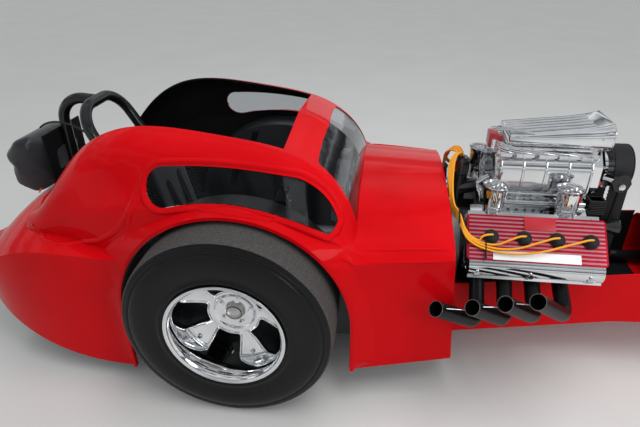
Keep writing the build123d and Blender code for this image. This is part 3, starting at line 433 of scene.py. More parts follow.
def lathe(profile, origin, axis, steps=96, closed=True):
    """A bmesh turned round an axis from (distance along it, radius) pairs."""
    axis = Vector(axis).normalized()
    side_dir = axis.orthogonal().normalized()
    other_dir = axis.cross(side_dir)
    turns = [2 * math.pi * step / steps for step in range(steps)]
    spokes = [side_dir * math.cos(turn) + other_dir * math.sin(turn) for turn in turns]
    shape = bmesh.new()
    rings = []
    for along, radius in profile:
        centre = Vector(origin) + axis * along
        if radius < 1e-6:
            rings.append([shape.verts.new(centre)] * steps)
        else:
            rings.append([shape.verts.new(centre + spoke * radius) for spoke in spokes])
    for first, second in zip(rings, rings[1:] + (rings[:1] if closed else [])):
        for step in range(steps):
            following = (step + 1) % steps
            corners = list(dict.fromkeys((first[step], first[following], second[following], second[step])))
            if len(corners) > 2:
                shape.faces.new(corners)
    bmesh.ops.recalc_face_normals(shape, faces=shape.faces)
    return shape


def turned(name, profile, origin, axis, steps, finish_name, closed=True, angle=50):
    """A lathed piece with its finish, smooth up to an angle."""
    return smooth_by_angle(object_of(name, lathe(profile, origin, axis, steps, closed), finish_name), angle)


def bar(name, points, radius, finish_name, body=None, sides=10):
    """A round bar or wire on a smooth line that starts and ends at its outer points."""
    curve = bpy.data.curves.new(name, "CURVE")
    curve.dimensions = "3D"
    curve.bevel_depth = radius
    curve.bevel_resolution = max(1, sides // 4)
    curve.use_fill_caps = True
    spline = curve.splines.new("NURBS")
    spline.points.add(len(points) - 1)
    for point, place in zip(spline.points, points):
        point.co = (*place, 1)
    spline.order_u = 3
    spline.use_endpoint_u = True
    spline.resolution_u = 8
    obj = settle(in_scene(name, curve))
    obj.data.materials.clear()
    obj.data.materials.append(finish[finish_name])
    smooth_by_angle(obj, 60)
    return fit(obj, body) if body else obj


def joined(name, objects, body, *stands_for):
    """Several objects as one piece."""
    shape = bmesh.new()
    materials = []
    for obj in objects:
        part = bmesh.new()
        part.from_mesh(obj.data)
        for face in part.faces:
            own = obj.data.materials[face.material_index]
            if own not in materials:
                materials.append(own)
            face.material_index = materials.index(own)
        own_mesh = bpy.data.meshes.new("part")
        part.to_mesh(own_mesh)
        part.free()
        shape.from_mesh(own_mesh)
        bpy.data.meshes.remove(own_mesh)
        bpy.data.objects.remove(obj)
    made = object_of(name, shape)
    for material in materials:
        made.data.materials.append(material)
    return fit(made, body, *stands_for)


# %% [markdown]
# A bolt head is the thing that repeats most on this car. The tree below stands a small head on every
# point of a mesh, turned to the direction kept in the point's own attribute, so one tree serves the
# engine, the wheels and the body. A hexagon makes a bolt, and more sides make a round screw head. A
# second tree does the same with boxes later, so what both share is a function.

# %% Trees that stand a form on every point


def stand_tree(name, sizes, kinds, reads):
    """A tree with named inputs, nodes and attributes to read. Returns it, its nodes and its linker."""
    tree = bpy.data.node_groups.new(name, "GeometryNodeTree")
    for label, kind, value in [("Geometry", "Geometry", None), *sizes, ("Finish", "Material", None)]:
        socket = tree.interface.new_socket(label, in_out="INPUT", socket_type="NodeSocket" + kind)
        if value is not None:
            socket.default_value = value
    tree.interface.new_socket("Geometry", in_out="OUTPUT", socket_type="NodeSocketGeometry")
    kinds = {"sizes": "NodeGroupInput", **kinds, "stand": "GeometryNodeInstanceOnPoints",
             "realize": "GeometryNodeRealizeInstances", "dress": "GeometryNodeSetMaterial",
             "out": "NodeGroupOutput"}
    put = {label: node(tree, kind) for label, kind in kinds.items()}
    for label in reads:
        put[label] = node(tree, "GeometryNodeInputNamedAttribute", Name=label)
        put[label].data_type = "FLOAT_VECTOR"

    def link(*rows):
        for source, output, target, socket in rows:
            tree.links.new(put[source].outputs[output], put[target].inputs[socket])

    link(("sizes", "Geometry", "stand", "Points"), ("stand", 0, "realize", 0),
         ("realize", 0, "dress", "Geometry"), ("sizes", "Finish", "dress", "Material"), ("dress", 0, "out", 0))
    return tree, put, link


def stood(name, tree, places, attributes, inputs):
    """The tree's forms on these places as a plain mesh. A place is a point and its attributes' vectors."""
    mesh = bpy.data.meshes.new(name)
    mesh.from_pydata([place[0] for place in places], [], [])
    for column, attribute in enumerate(attributes, 1):
        values = mesh.attributes.new(attribute, "FLOAT_VECTOR", "POINT")
        values.data.foreach_set("vector", [value for place in places for value in place[column]])
    obj = in_scene(name, mesh)
    modifier = obj.modifiers.new(tree.name, "NODES")
    modifier.node_group = tree
    for item in tree.interface.items_tree:
        if item.in_out == "INPUT" and item.name in inputs:
            modifier[item.identifier] = inputs[item.name]
    return settle(obj)


# %% Bolt heads by Geometry Nodes
washer_sides = 14
washer_share = 0.3
head_lift_share = 0.65
bolt_heads, put, link = stand_tree(
    "bolt_heads",
    [("Head radius", "Float", 0.006), ("Head height", "Float", 0.005), ("Sides", "Int", 6),
     ("Washer radius", "Float", 0.008)],
    {"head": "GeometryNodeMeshCylinder", "washer": "GeometryNodeMeshCylinder",
     "washer_height": "ShaderNodeMath", "half": "ShaderNodeMath", "lift": "ShaderNodeCombineXYZ",
     "raised": "GeometryNodeTransform",
     "both": "GeometryNodeJoinGeometry", "turn": "FunctionNodeAlignRotationToVector"}, ["facing"])
put["washer"].inputs["Vertices"].default_value = washer_sides
put["turn"].axis = "Z"
for label, share in (("washer_height", washer_share), ("half", head_lift_share)):
    put[label].operation = "MULTIPLY"
    put[label].inputs[1].default_value = share
    link(("sizes", "Head height", label, 0))
link(("sizes", "Head radius", "head", "Radius"), ("sizes", "Head height", "head", "Depth"),
     ("sizes", "Sides", "head", "Vertices"), ("sizes", "Washer radius", "washer", "Radius"),
     ("washer_height", 0, "washer", "Depth"), ("half", 0, "lift", "Z"), ("head", "Mesh", "raised", "Geometry"),
     ("lift", 0, "raised", "Translation"), ("raised", 0, "both", 0), ("washer", "Mesh", "both", 0),
     ("facing", "Attribute", "turn", "Vector"), ("both", 0, "stand", "Instance"),
     ("turn", 0, "stand", "Rotation"))


def bolts(name, places, body, radius=0.006, height=0.005, sides=6, washer=0.008, finish_name="polished"):
    """One piece with a bolt head at each (point, direction it faces)."""
    obj = stood(name, bolt_heads, places, ["facing"],
                {"Head radius": radius, "Head height": height, "Sides": sides, "Washer radius": washer,
                 "Finish": finish[finish_name]})
    print(name, len(places), "heads")
    return fit(smooth_by_angle(obj, 40), body)


def on_circle(count, radius, first=0.0):
    """Evenly spaced offsets (across, up) on a circle, from this many degrees."""
    turns = [math.radians(first + 360 * step / count) for step in range(count)]
    return [(radius * math.cos(turn), radius * math.sin(turn)) for turn in turns]


# %% [markdown]
# The rear wheel is a deep polished casting: a smooth barrel with a rolled flange, and a dished centre
# with five large windows whose edges are raised and rounded. A lathe makes the barrel. The centre is a
# coarse polar net of faces with the windows left open, closed behind by a second net, and rounded by
# subdivision, as a cast part is rounded by its pattern.

# %% The wheel centre


def window_half(radius, spread):
    """Half the angle that a window takes at this radius."""
    inner, outer = spread
    share = min(1, max(0, (radius - 0.097) / 0.1))
    return math.asin(min(0.95, (inner + share * (outer - inner)) / radius))


def wheel_centre(name, rings, inner_ring, spread, flange_y, thickness, axle, finish_name, scale=1.0):
    """A right-hand wheel centre. rings holds (radius, depth behind the flange), from hub to barrel."""
    windows = 5
    first_angle = math.radians(39)
    shape = bmesh.new()
    shares = (-2, -1.5, -1, -0.5, 0, 0.5, 1, 1.5)
    columns = [(window, share) for window in range(windows) for share in shares]

    def angle_of(column, radius):
        window, share = columns[column % len(columns)]
        edge = window_half(radius / scale, spread)
        half = math.pi / windows
        if abs(share) <= 1:
            turn = share * edge
        else:
            turn = math.copysign(edge + (abs(share) - 1) * (half - edge), share)
        return first_angle + window * 2 * half + turn

    def corner(radius, angle, depth):
        return Vector((axle.x + radius * math.cos(angle), flange_y + depth,
                       axle.z + radius * math.sin(angle)))

    front, back = [], []
    for radius, depth in rings:
        angles = [angle_of(column, radius) for column in range(len(columns))]
        front.append([shape.verts.new(corner(radius, angle, depth)) for angle in angles])
        back.append([shape.verts.new(corner(radius, angle, depth + thickness)) for angle in angles])
    count = len(columns)
    for ring in range(len(rings) - 1):
        for column in range(count):
            share = columns[column][1]
            if ring >= inner_ring and -1 <= share < 1:
                continue
            following = (column + 1) % count
            shape.faces.new((front[ring][column], front[ring][following], front[ring + 1][following],
                             front[ring + 1][column]))
            shape.faces.new((back[ring + 1][column], back[ring + 1][following], back[ring][following],
                             back[ring][column]))
    for column in range(count):
        following = (column + 1) % count
        shape.faces.new((front[0][following], front[0][column], back[0][column], back[0][following]))
        if not -1 <= columns[column][1] < 1:
            shape.faces.new((front[-1][column], front[-1][following], back[-1][following],
                             back[-1][column]))
    for window in range(windows):
        low = window * len(shares) + 2
        loop = [(inner_ring, low + step) for step in range(5)]
        loop += [(ring, low + 4) for ring in range(inner_ring + 1, len(rings))]
        loop = [(ring, low) for ring in range(len(rings) - 1, inner_ring, -1)] + loop
        middle_r = 0.5 * (rings[inner_ring][0] + rings[-1][0])
        middle = corner(middle_r, first_angle + window * 2 * math.pi / windows, 0)
        strips = [[front[ring][column] for ring, column in loop]]
        for inward, forward_by in ((0.002, 0.0075), (0.0065, 0.0085), (0.0105, 0.0015)):
            strip = []
            for ring, column in loop:
                base = front[ring][column].co
                toward = (Vector((middle.x, base.y, middle.z)) - base).normalized()
                if ring == len(rings) - 1:
                    toward = Vector((-toward.z, 0, toward.x)) * (1 if column == low else -1)
                    radial = (base - Vector((axle.x, base.y, axle.z))).normalized()
                    toward = (toward - radial * toward.dot(radial)).normalized()
                    if toward.dot(Vector((middle.x, base.y, middle.z)) - base) < 0:
                        toward = -toward
                rise = Vector((0, forward_by * scale, 0))
                strip.append(shape.verts.new(base + toward * inward * scale - rise))
            strips.append(strip)
        wall = []
        for vertex, (ring, column) in zip(strips[-1], loop):
            back[ring][column].co.x = vertex.co.x
            back[ring][column].co.z = vertex.co.z
            wall.append(back[ring][column])
        strips.append(wall)
        for first, second in zip(strips, strips[1:]):
            for step in range(len(loop) - 1):
                shape.faces.new((first[step], first[step + 1], second[step + 1], second[step]))
        for end in (0, -1):
            shape.faces.new([strip[end] for strip in strips])
    bmesh.ops.recalc_face_normals(shape, faces=shape.faces)
    return smooth_by_angle(refine(object_of(name, shape, finish_name), levels=2), 50)


def barrel_profile(rim_r, lip_r, width, wall):
    """Closed (depth, radius) outline of the rim, from the outer flange round to the inner one."""
    bead = 0.024
    inner_r = rim_r - wall
    return [(0.0, lip_r - 0.004), (0.001, lip_r - 0.001), (0.003, lip_r), (0.0052, lip_r - 0.0008),
            (0.0066, lip_r - 0.005), (0.008, rim_r), (bead, rim_r - 0.0006),
            (width - bead, rim_r - 0.0006), (width - 0.008, rim_r), (width - 0.0066, lip_r - 0.005),
            (width - 0.004, lip_r - 0.0004), (width, lip_r - 0.003), (width - 0.001, inner_r),
            (width * 0.6, inner_r - 0.002), (0.05, inner_r - 0.0025), (0.016, inner_r - 0.0015),
            (0.0135, inner_r + 0.0005), (0.010, inner_r + 0.004), (0.004, lip_r - 0.013)]


def polished_rim(name, rim_r, lip_r, width, flange_y, axle, finish_name):
    outline = barrel_profile(rim_r, lip_r, width, 0.0065)
    return turned(name, outline, (axle.x, flange_y, axle.z), (0, 1, 0), 144, finish_name, angle=40)


def other_side(pieces, body):
    """Copies a right-hand wheel's pieces to the left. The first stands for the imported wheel."""
    for piece in pieces:
        twin(piece, piece.name.replace("right", "left"), body, *([body] if piece is pieces[0] else []))


rear_axle_point = at(0, 0, rear_tyre_r)
rear_rim_half = 0.155
rear_flange_y = -(rear_wheel_y + rear_rim_half)
rear_rings = [(0.034, 0.152), (0.048, 0.152), (0.072, 0.151), (0.079, 0.1445), (0.085, 0.1405),
              (0.096, 0.1415), (0.122, 0.139), (0.150, 0.132), (0.178, 0.122), (0.2012, 0.112)]
centre = wheel_centre("rear_wheel_centre_right", rear_rings, 5, (0.046, 0.070), rear_flange_y, 0.026,
                      rear_axle_point, "mirror")
fit(centre, "rear_wheel_right", "rear_wheel_right")
rim = polished_rim("rear_rim_right", 0.208, 0.220, 2 * rear_rim_half, rear_flange_y, rear_axle_point, "mirror")
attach(rim, "rear_wheel_right")
print("rear wheel centre", len(centre.data.polygons), "faces, rim", len(rim.data.polygons))

# %% [markdown]
# A domed cap covers the axle end, with long nuts round it in the pocket of the casting, and one bolt
# holds each spoke to the barrel. A nut is a lathed form with a hexagon over it.

# %% Hub cap, nuts and spoke bolts
spoke_angles = [math.radians(39 + 36 + 72 * step) for step in range(5)]


def hub_cap(name, radius, depth, flange_y, axle, finish_name):
    outline = [(depth, 0), (depth + 0.0012, radius * 0.25), (depth + 0.004, radius * 0.5),
               (depth + 0.0085, radius * 0.74), (depth + 0.0145, radius * 0.91),
               (depth + 0.020, radius * 0.985), (depth + 0.023, radius), (depth + 0.030, radius),
               (depth + 0.030, 0)]
    return turned(name, outline, (axle.x, flange_y, axle.z), (0, 1, 0), 48, finish_name, False)


def ring_places(radius, angles, depth, flange_y, axle):
    """Bolt places on a wheel's outer side, from the axle line."""
    hub = Vector((axle.x, flange_y + depth, axle.z))
    return [(hub + Vector((radius * math.cos(angle), 0, radius * math.sin(angle))), (0, -1, 0))
            for angle in angles]


cap = hub_cap("rear_hub_cap_right", 0.036, 0.126, rear_flange_y, rear_axle_point, "cap_grey")
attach(cap, "rear_wheel_right")
nuts = bolts("rear_wheel_nuts_right", ring_places(0.057, spoke_angles, 0.1505, rear_flange_y, rear_axle_point),
             "rear_wheel_right", 0.0098, 0.011, 6, 0.0128, "mirror")
spoke_bolts = bolts("rear_spoke_bolts_right",
                    ring_places(0.180, spoke_angles, 0.1205, rear_flange_y, rear_axle_point),
                    "rear_wheel_right", 0.007, 0.006, 6, 0.0105, "mirror")
other_side((centre, rim, cap, nuts, spoke_bolts), "rear_wheel_left")

# %% [markdown]
# The front wheels are narrow copies of the same style: a shallow centre in a slim rim.

# %% Front wheels
front_tyre_r = (front_high.z - front_low.z) / 2
front_wheel_y = -(front_low.y + front_high.y) / 2
front_rim_half = 0.050
front_flange_y = -(front_wheel_y + front_rim_half)
front_axle_point = at(wheelbase, 0, front_tyre_r)
front_rings = [(0.024, 0.034), (0.034, 0.034), (0.050, 0.034), (0.056, 0.031), (0.061, 0.030),
               (0.070, 0.0295), (0.095, 0.0285), (0.122, 0.0275), (0.152, 0.0265), (0.1852, 0.026)]
front_centre = wheel_centre("front_wheel_centre_right", front_rings, 5, (0.034, 0.062), front_flange_y, 0.014,
                            front_axle_point, "mirror", 0.92)
fit(front_centre, "front_wheel_right", "front_wheel_right")
front_rim = polished_rim("front_rim_right", 0.192, 0.204, 2 * front_rim_half, front_flange_y,
                         front_axle_point, "mirror")
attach(front_rim, "front_wheel_right")
front_cap = hub_cap("front_hub_cap_right", 0.023, 0.014, front_flange_y, front_axle_point, "polished")
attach(front_cap, "front_wheel_right")
front_nuts = bolts("front_wheel_nuts_right",
                   ring_places(0.041, spoke_angles, 0.034, front_flange_y, front_axle_point),
                   "front_wheel_right", 0.008, 0.014, 6, 0.010, "mirror")
other_side((front_centre, front_rim, front_cap, front_nuts), "front_wheel_left")
print("front wheel centre", len(front_centre.data.polygons), "faces, rim", len(front_rim.data.polygons))

# %% [markdown]
# The rear tyres are smooth slicks. Rubber is shiny on the wall and brown and dull on the tread, where
# it has been worn and dusted, so the tread faces get a finish of their own.

# %% Tyres
worn, worn_tree, worn_shader = new_finish("tyre_tread", (0.052, 0.05, 0.047), 0.9)
dust = two_tone(worn_tree, noise_over(worn_tree, 150.0, 8.0), (0.036, 0.035, 0.034), (0.068, 0.065, 0.062))
worn_tree.links.new(dust, worn_shader.inputs["Base Color"])
bump_from(worn_tree, worn_shader, noise_over(worn_tree, 300.0, 4.0), 0.0012, 0.6)
finish["tyre_tread"] = worn


def tyre_outline(bead_y, bead_r, tyre_r, tread_half, bulge):
    """Closed (distance from the tyre's middle, radius) outline, from one bead over the tread to the other."""
    rise = tyre_r - bead_r
    half = [(bead_y - 0.004, bead_r), (bead_y, bead_r + 0.012), (bead_y + 0.001, bead_r + 0.018),
            (bead_y + 0.0055, bead_r + 0.0235), (bead_y + 0.0062, bead_r + 0.0275),
            (bead_y + 0.0016, bead_r + 0.0315), (bead_y + bulge * 0.3, bead_r + 0.045),
            (bead_y + bulge * 0.8, bead_r + 0.36 * rise),
            (bead_y + bulge, bead_r + 0.50 * rise), (bead_y + bulge * 0.9, bead_r + 0.62 * rise),
            (bead_y + bulge * 0.35, bead_r + 0.74 * rise), (bead_y - 0.001, bead_r + 0.775 * rise),
            (bead_y - 0.0034, bead_r + 0.782 * rise), (bead_y - 0.003, bead_r + 0.81 * rise),
            (bead_y - 0.0058, bead_r + 0.817 * rise), (bead_y - 0.0056, bead_r + 0.845 * rise),
            (tread_half + 0.0056, bead_r + 0.852 * rise), (tread_half + 0.005, bead_r + 0.885 * rise),
            (tread_half + 0.003, bead_r + 0.925 * rise), (tread_half, bead_r + 0.945 * rise),
            (tread_half - 0.006, bead_r + 0.967 * rise), (tread_half - 0.020, bead_r + 0.982 * rise)]
    crown = [(tread_half * 0.7, tyre_r - 0.0022), (tread_half * 0.35, tyre_r - 0.0006), (0, tyre_r)]
    right_half = [(-along, radius) for along, radius in half + crown]
    left_half = [(along, radius) for along, radius in reversed(half + crown[:-1])]
    return right_half + left_half


def slick(name, node_name, outline, middle_y, axle, tread_r, body):
    shape = lathe(outline, (axle.x, -middle_y, axle.z), (0, 1, 0), 160)
    for face in shape.faces:
        middle = face.calc_center_median()
        radius = math.hypot(middle.x - axle.x, middle.z - axle.z)
        face.material_index = 1 if radius > tread_r else 0
    return fit(smooth_by_angle(object_of(name, shape, "tyre_side", "tyre_tread"), 60), body, node_name)


rear_outline = tyre_outline(0.147, 0.2085, rear_tyre_r, 0.1335, 0.0075)
rear_slick = slick("rear_slick_right", "rear_tyre_right", rear_outline, rear_wheel_y, rear_axle_point,
                   rear_tyre_r - 0.008, "rear_wheel_right")
twin(rear_slick, "rear_slick_left", "rear_wheel_left", "rear_tyre_left")
front_outline = tyre_outline(0.042, 0.1925, front_tyre_r, 0.044, 0.006)
front_slick = slick("front_slick_right", "front_tyre_right", front_outline, front_wheel_y, front_axle_point,
                    front_tyre_r - 0.006, "front_wheel_right")
twin(front_slick, "front_slick_left", "front_wheel_left", "front_tyre_left")
print("tyres", len(rear_slick.data.polygons), "faces each")

# %% [markdown]
# The engine is a V8 with its banks at 45 degrees. All dressing on a bank is placed by three numbers:
# x along the car, t up along the bank's face and n straight out from the crank. One small function
# turns them into a point, so a screw row or a plate needs only its own sizes.

# %% Places on a cylinder bank
crank_z = 0.4
slope = math.sqrt(0.5)
cover_n = 0.408
rib_h = 0.004


def on_bank(x, t, n, side=-1):
    return at(x, -side * (t - n) * slope, crank_z + (t + n) * slope)


def bank_out(side=-1):
    return Vector((0, side * slope, slope))


def bank_up(side=-1):
    return Vector((0, -side * slope, slope))


merge_distance = 0.00005


def merged(node_name):
    """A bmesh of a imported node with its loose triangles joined."""
    shape = bmesh.new()
    shape.from_mesh(nodes[node_name].data)
    bmesh.ops.remove_doubles(shape, verts=shape.verts, dist=merge_distance)
    return shape


def recolour(name, node_name, sort, *finish_names):
    """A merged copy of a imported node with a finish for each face, chosen by sort(centre, normal)."""
    shape = merged(node_name)
    for face in shape.faces:
        face.material_index = sort(face.calc_center_median(), face.normal)
    obj = even_shading(smooth_by_angle(object_of(name, shape, *finish_names), 32))
    print(name, len(obj.data.polygons), "faces")
    return fit(obj, "chassis", node_name)


def seat_on(node_name, start, toward):
    """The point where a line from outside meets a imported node."""
    mesh = nodes[node_name].data
    surface = BVHTree.FromPolygons([vertex.co for vertex in mesh.vertices],
                                   [face.vertices for face in mesh.polygons])
    return surface.ray_cast(Vector(start), Vector(toward))[0]


# %% [markdown]
# The rocker covers are cast with long ribs. The rib tops and the skirt are polished and the ground
# between the ribs is red, which is why the cover looks striped. The stripes come from sorting the
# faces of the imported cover: a face on a rib top, or off the flat, takes the polish.

# %% Rocker covers


def cover_sort(centre, normal):
    side = -1 if centre.y < 0 else 1
    out = normal.dot(bank_out(side))
    n = side * centre.y * slope + (centre.z - crank_z) * slope
    t = -side * centre.y * slope + (centre.z - crank_z) * slope
    if out > 0.9 and n > cover_n - rib_h * 0.5:
        return 1
    return 0 if out > 0.9 and n > cover_n - rib_h * 1.5 and t > -0.16 else 2


recolour("rocker_covers", "valve_covers", cover_sort, "cover_red", "rib_polish", "polished")

# %% [markdown]
# Flat bars, plates and pads all over the car are one box in many sizes, so one Geometry Nodes tree
# stands a unit box on each point. The point's own attributes say which way the box faces, which way
# it runs and how large it is.

# %% Boxes by Geometry Nodes
boxes_tree, put, link = stand_tree(
    "boxes", [("Unit size", "Float", 1.0)],
    {"cube_size": "ShaderNodeCombineXYZ", "cube": "GeometryNodeMeshCube",
     "upright": "FunctionNodeAlignRotationToVector", "run": "FunctionNodeAlignRotationToVector"},
    ["facing", "along", "box_size"])
put["upright"].axis = "Z"
put["run"].axis = "X"
put["run"].pivot_axis = "Z"
link(("sizes", "Unit size", "cube_size", "X"), ("sizes", "Unit size", "cube_size", "Y"),
     ("sizes", "Unit size", "cube_size", "Z"), ("cube_size", 0, "cube", "Size"),
     ("facing", "Attribute", "upright", "Vector"), ("upright", 0, "run", "Rotation"),
     ("along", "Attribute", "run", "Vector"), ("cube", "Mesh", "stand", "Instance"),
     ("run", 0, "stand", "Rotation"), ("box_size", "Attribute", "stand", "Scale"))


def boxes(name, places, body, finish_name, rounding=0.0008, segments=2):
    """One piece with a box at each (centre, direction it faces, direction it runs, its three sizes)."""
    obj = stood(name, boxes_tree, places, ["facing", "along", "box_size"], {"Finish": finish[finish_name]})
    obj = smooth_by_angle(refine(obj, bevel=rounding, segments=segments), 40)
    print(name, len(places), "boxes")
    return fit(obj, body) if body else obj


# %% [markdown]
# Each cover carries a raised pad at its middle and a bare plate along its foot, and three bolts in
# round recesses hold its skirt. All of them are the same on both banks.

# %% Plates and screws of the rocker covers
ahead = Vector((1, 0, 0))
pads, plates, skirt_bolts = [], [], []
for side in (-1, 1):
    out = bank_out(side)
    pads.append((on_bank(1.1, -0.014, cover_n + 0.0005, side), out, ahead, (0.112, 0.052, 0.005)))
    plates.append((on_bank(1.0855, -0.139, cover_n + 0.001, side), out, ahead, (0.305, 0.034, 0.003)))
    for x, z in ((0.883, 0.527), (1.070, 0.527), (1.278, 0.527)):
        skirt_bolts.append((at(x, side * 0.4105, z), Vector((0, side, 0.25)).normalized()))
boxes("cover_pads", pads, "chassis", "pad_red", 0.0012)
boxes("cover_plates", plates, "chassis", "white_plate", 0.0008)
bolts("cover_bolts", skirt_bolts, "chassis", radius=0.0065, height=0.012, sides=12, washer=0.0115)
recess_profile = [(-0.006, 0.0125), (0.0015, 0.0125), (0.0028, 0.0138), (0.0015, 0.0152), (-0.006, 0.0152)]
joined("cover_recesses", [turned("ring", recess_profile, place, facing, 32, "mirror")
                          for place, facing in skirt_bolts], "chassis")

# %% [markdown]
# Each plug wire is 8 mm silicone cable. It leaves the magneto cap, bends over the back of the engine,
# lies along the rocker cover and ends in a ribbed rubber boot pushed over the plug. The line repeats
# the points of the CAD route as the control points of a smooth curve, so the wire bends evenly.

# %% Plug wires and boots
cap_z = 0.812
magneto_x = 0.842
run_heights = (-0.096, -0.112, -0.128, -0.144)
wire_r = 0.004
plug_pitch = 0.1159
plug_xs = [0.927 + plug_pitch * row for row in range(4)]


def wire_line(row, side):
    turn = math.radians(-90 - 28 * row)
    start = (magneto_x + 0.020 * math.cos(turn), -side * 0.020 * math.sin(turn))
    run_t = run_heights[row]
    return [at(start[0], start[1], cap_z), at(start[0], start[1], 0.844 - 0.002 * row),
            at(0.804 - 0.008 * row, side * (0.052 + 0.004 * row), 0.838 - 0.009 * row),
            at(0.795 - 0.003 * row, side * (0.128 + 0.004 * row), 0.754 - 0.009 * row),
            at(0.799, side * (0.206 + 0.004 * row), 0.692 - 0.010 * row),
            on_bank(0.812, 0.018 - 0.012 * row, 0.414, side),
            on_bank(0.834 + 0.004 * row, run_t + 0.030, 0.422, side),
            on_bank(0.884 + 0.050 * row, run_t, 0.420, side),
            on_bank(plug_xs[row] - 0.040, -0.078, 0.434, side),
            on_bank(plug_xs[row] - 0.014, -0.070, 0.437, side),
            on_bank(plug_xs[row] + 0.002, -0.068, 0.428, side)]


boot_teeth = 22
boot_profile = [(0, 0.0), (0, 0.0255), (0.003, 0.0275), (0.0062, 0.0275), (0.0075, 0.0235), (0.0095, 0.0225),
                (0.0110, 0.0235), (0.0135, 0.0232), (0.0150, 0.0200), (0.0185, 0.0190), (0.0210, 0.0150),
                (0.0222, 0.0100), (0.0225, 0.0)]


def plug_boot(origin, out):
    """A ribbed rubber boot whose widest ring is serrated."""
    shape = lathe(boot_profile, origin, out, boot_teeth * 4, False)
    axis = Vector(out)
    for vertex in shape.verts:
        arm = vertex.co - Vector(origin)
        arm -= axis * arm.dot(axis)
        if arm.length > 0.0265:
            side_dir = axis.orthogonal().normalized()
            turn = math.atan2(arm.dot(axis.cross(side_dir)), arm.dot(side_dir))
            vertex.co -= arm.normalized() * 0.0016 * (1 - math.cos(turn * boot_teeth)) / 2
    return smooth_by_angle(object_of("boot", shape, "boot_black"), 40)


wires, boots, ties = [], [], []
for side in (-1, 1):
    for row in range(4):
        wires.append(bar("wire", wire_line(row, side), wire_r, "wire_yellow", sides=12))
        centre_point = on_bank(plug_xs[row], -0.071, cover_n + 0.0003, side)
        boots.append(plug_boot(centre_point, bank_out(side)))
    ties.append((on_bank(0.812, 0.0, cover_n + 0.0065, side), bank_out(side), ahead, (0.005, 0.056, 0.011)))
    ties.append((on_bank(0.905, -0.122, cover_n + 0.012, side), bank_out(side), ahead, (0.005, 0.070, 0.012)))
joined("plug_leads", wires, "chassis", "plug_wires")
joined("plug_boots", boots, "chassis")
boxes("wire_ties", ties, "chassis", "boot_black", 0.001)

# %% [markdown]
# The magneto is a machined housing under a moulded cap. The cap has a ring of short towers, one for
# each wire, and a chromed drive elbow leaves the housing towards the front of the engine.

# %% Magneto
cap_seam_z = 0.739
recolour("magneto_body", "magneto", lambda centre, normal: 1 if centre.z > cap_seam_z else 0, "housing_grey",
         "cap_black")
towers = [(wire_line(row, side)[0] + Vector((0, 0, 0.002)), (0, 0, 1)) for side in (-1, 1) for row in range(4)]
bolts("cap_towers", towers, "chassis", radius=0.0062, height=0.009, sides=16, washer=0.0072,
      finish_name="cap_black")
clamp_screws = [(at(magneto_x + x, y, 0.760), (x, y, 0)) for x, y in on_circle(4, 0.033, 45)]
bolts("cap_screws", clamp_screws, "chassis", radius=0.0035, height=0.004, sides=12, washer=0.0045)
elbow_rows = (
    ([at(0.850, -0.010, 0.675), at(0.884, -0.026, 0.690), at(0.912, -0.040, 0.706)], 0.026, "housing_grey", 24),
    ([at(0.900, -0.034, 0.700), at(0.918, -0.046, 0.690), at(0.926, -0.052, 0.668), at(0.930, -0.056, 0.645)],
     0.019, "mirror", 24),
    ([at(0.906, -0.030, 0.708), at(0.955, -0.030, 0.740)], 0.014, "mirror", 20))
joined("magneto_elbow", [bar("elbow", line, radius, finish_name, sides=sides)
                         for line, radius, finish_name, sides in elbow_rows], "chassis")

# %% [markdown]
# The blower case, the injector hat and the nozzle rows share one way of making: rounded cross sections
# along x, joined by faces. A rounded section is cheap to write as half width, low, top and corner, and
# rings close together make the crisp but rounded shoulders that a polished casting has.

# %% Rounded sections along the car


def rounded_ring(x, half, low, top, corner_r, steps=6):
    """Points round a rounded rectangle that stands across the car."""
    points = []
    for corner, (y_side, z_side) in enumerate(((1, 1), (-1, 1), (-1, -1), (1, -1))):
        centre_y = y_side * (half - corner_r)
        centre_z = (top - corner_r) if z_side > 0 else (low + corner_r)
        for step in range(steps + 1):
            turn = math.radians(90 * corner + 90 * step / steps)
            points.append(at(x, centre_y + corner_r * math.cos(turn), centre_z + corner_r * math.sin(turn)))
    return points


def sectioned(name, rows, *finish_names, steps=6, sort=None, angle=35):
    """A closed body through rows of (x, half width, low z, top z, corner radius)."""
    shape = bmesh.new()
    bridge(shape, [[shape.verts.new(point) for point in rounded_ring(*row, steps)] for row in rows], True)
    if sort:
        for face in shape.faces:
            face.material_index = sort(face.calc_center_median(), face.normal)
    return smooth_by_angle(object_of(name, shape, *finish_names), angle)


# %% [markdown]
# The blower case is a long casting with five bands round it. It narrows a little between them, so a
# band is six sections close together, and the case runs straight on to the next one.

# %% Blower case
case_low, case_top = 0.6802, 0.8848
rib_xs = (0.965, 1.048, 1.131, 1.214, 1.296)
case_rows = []
# Columns: distance along the rib, half width, corner radius
rib_shape = [(0, 0.134, 0.072), (0.0006, 0.1385, 0.076), (0.002, 0.140, 0.078), (0.007, 0.140, 0.078),
             (0.0084, 0.1385, 0.076), (0.009, 0.134, 0.072)]
for rib_x in rib_xs:
    case_rows += [(rib_x + along, half, case_low, case_top, corner_r) for along, half, corner_r in rib_shape]
case = sectioned("case", case_rows, "polished", steps=10)
foot = sectioned("foot", [(0.966, 0.148, 0.6803, 0.696, 0.003), (1.304, 0.148, 0.6803, 0.696, 0.003)],
                 "polished", steps=3)
joined("blower_body", [case, refine(foot, bevel=0.0015)], "chassis", "blower_case")
end_ring_wide, end_ring_high = 0.112, 0.082
cover_bolt_r, cover_z = 0.098, 0.788
foot_xs = (0.985, 1.034, 1.092, 1.117, 1.175, 1.200, 1.258, 1.288)
foot_bolts = [(at(x, side * 0.143, 0.697), (0, 0, 1)) for side in (-1, 1) for x in foot_xs]
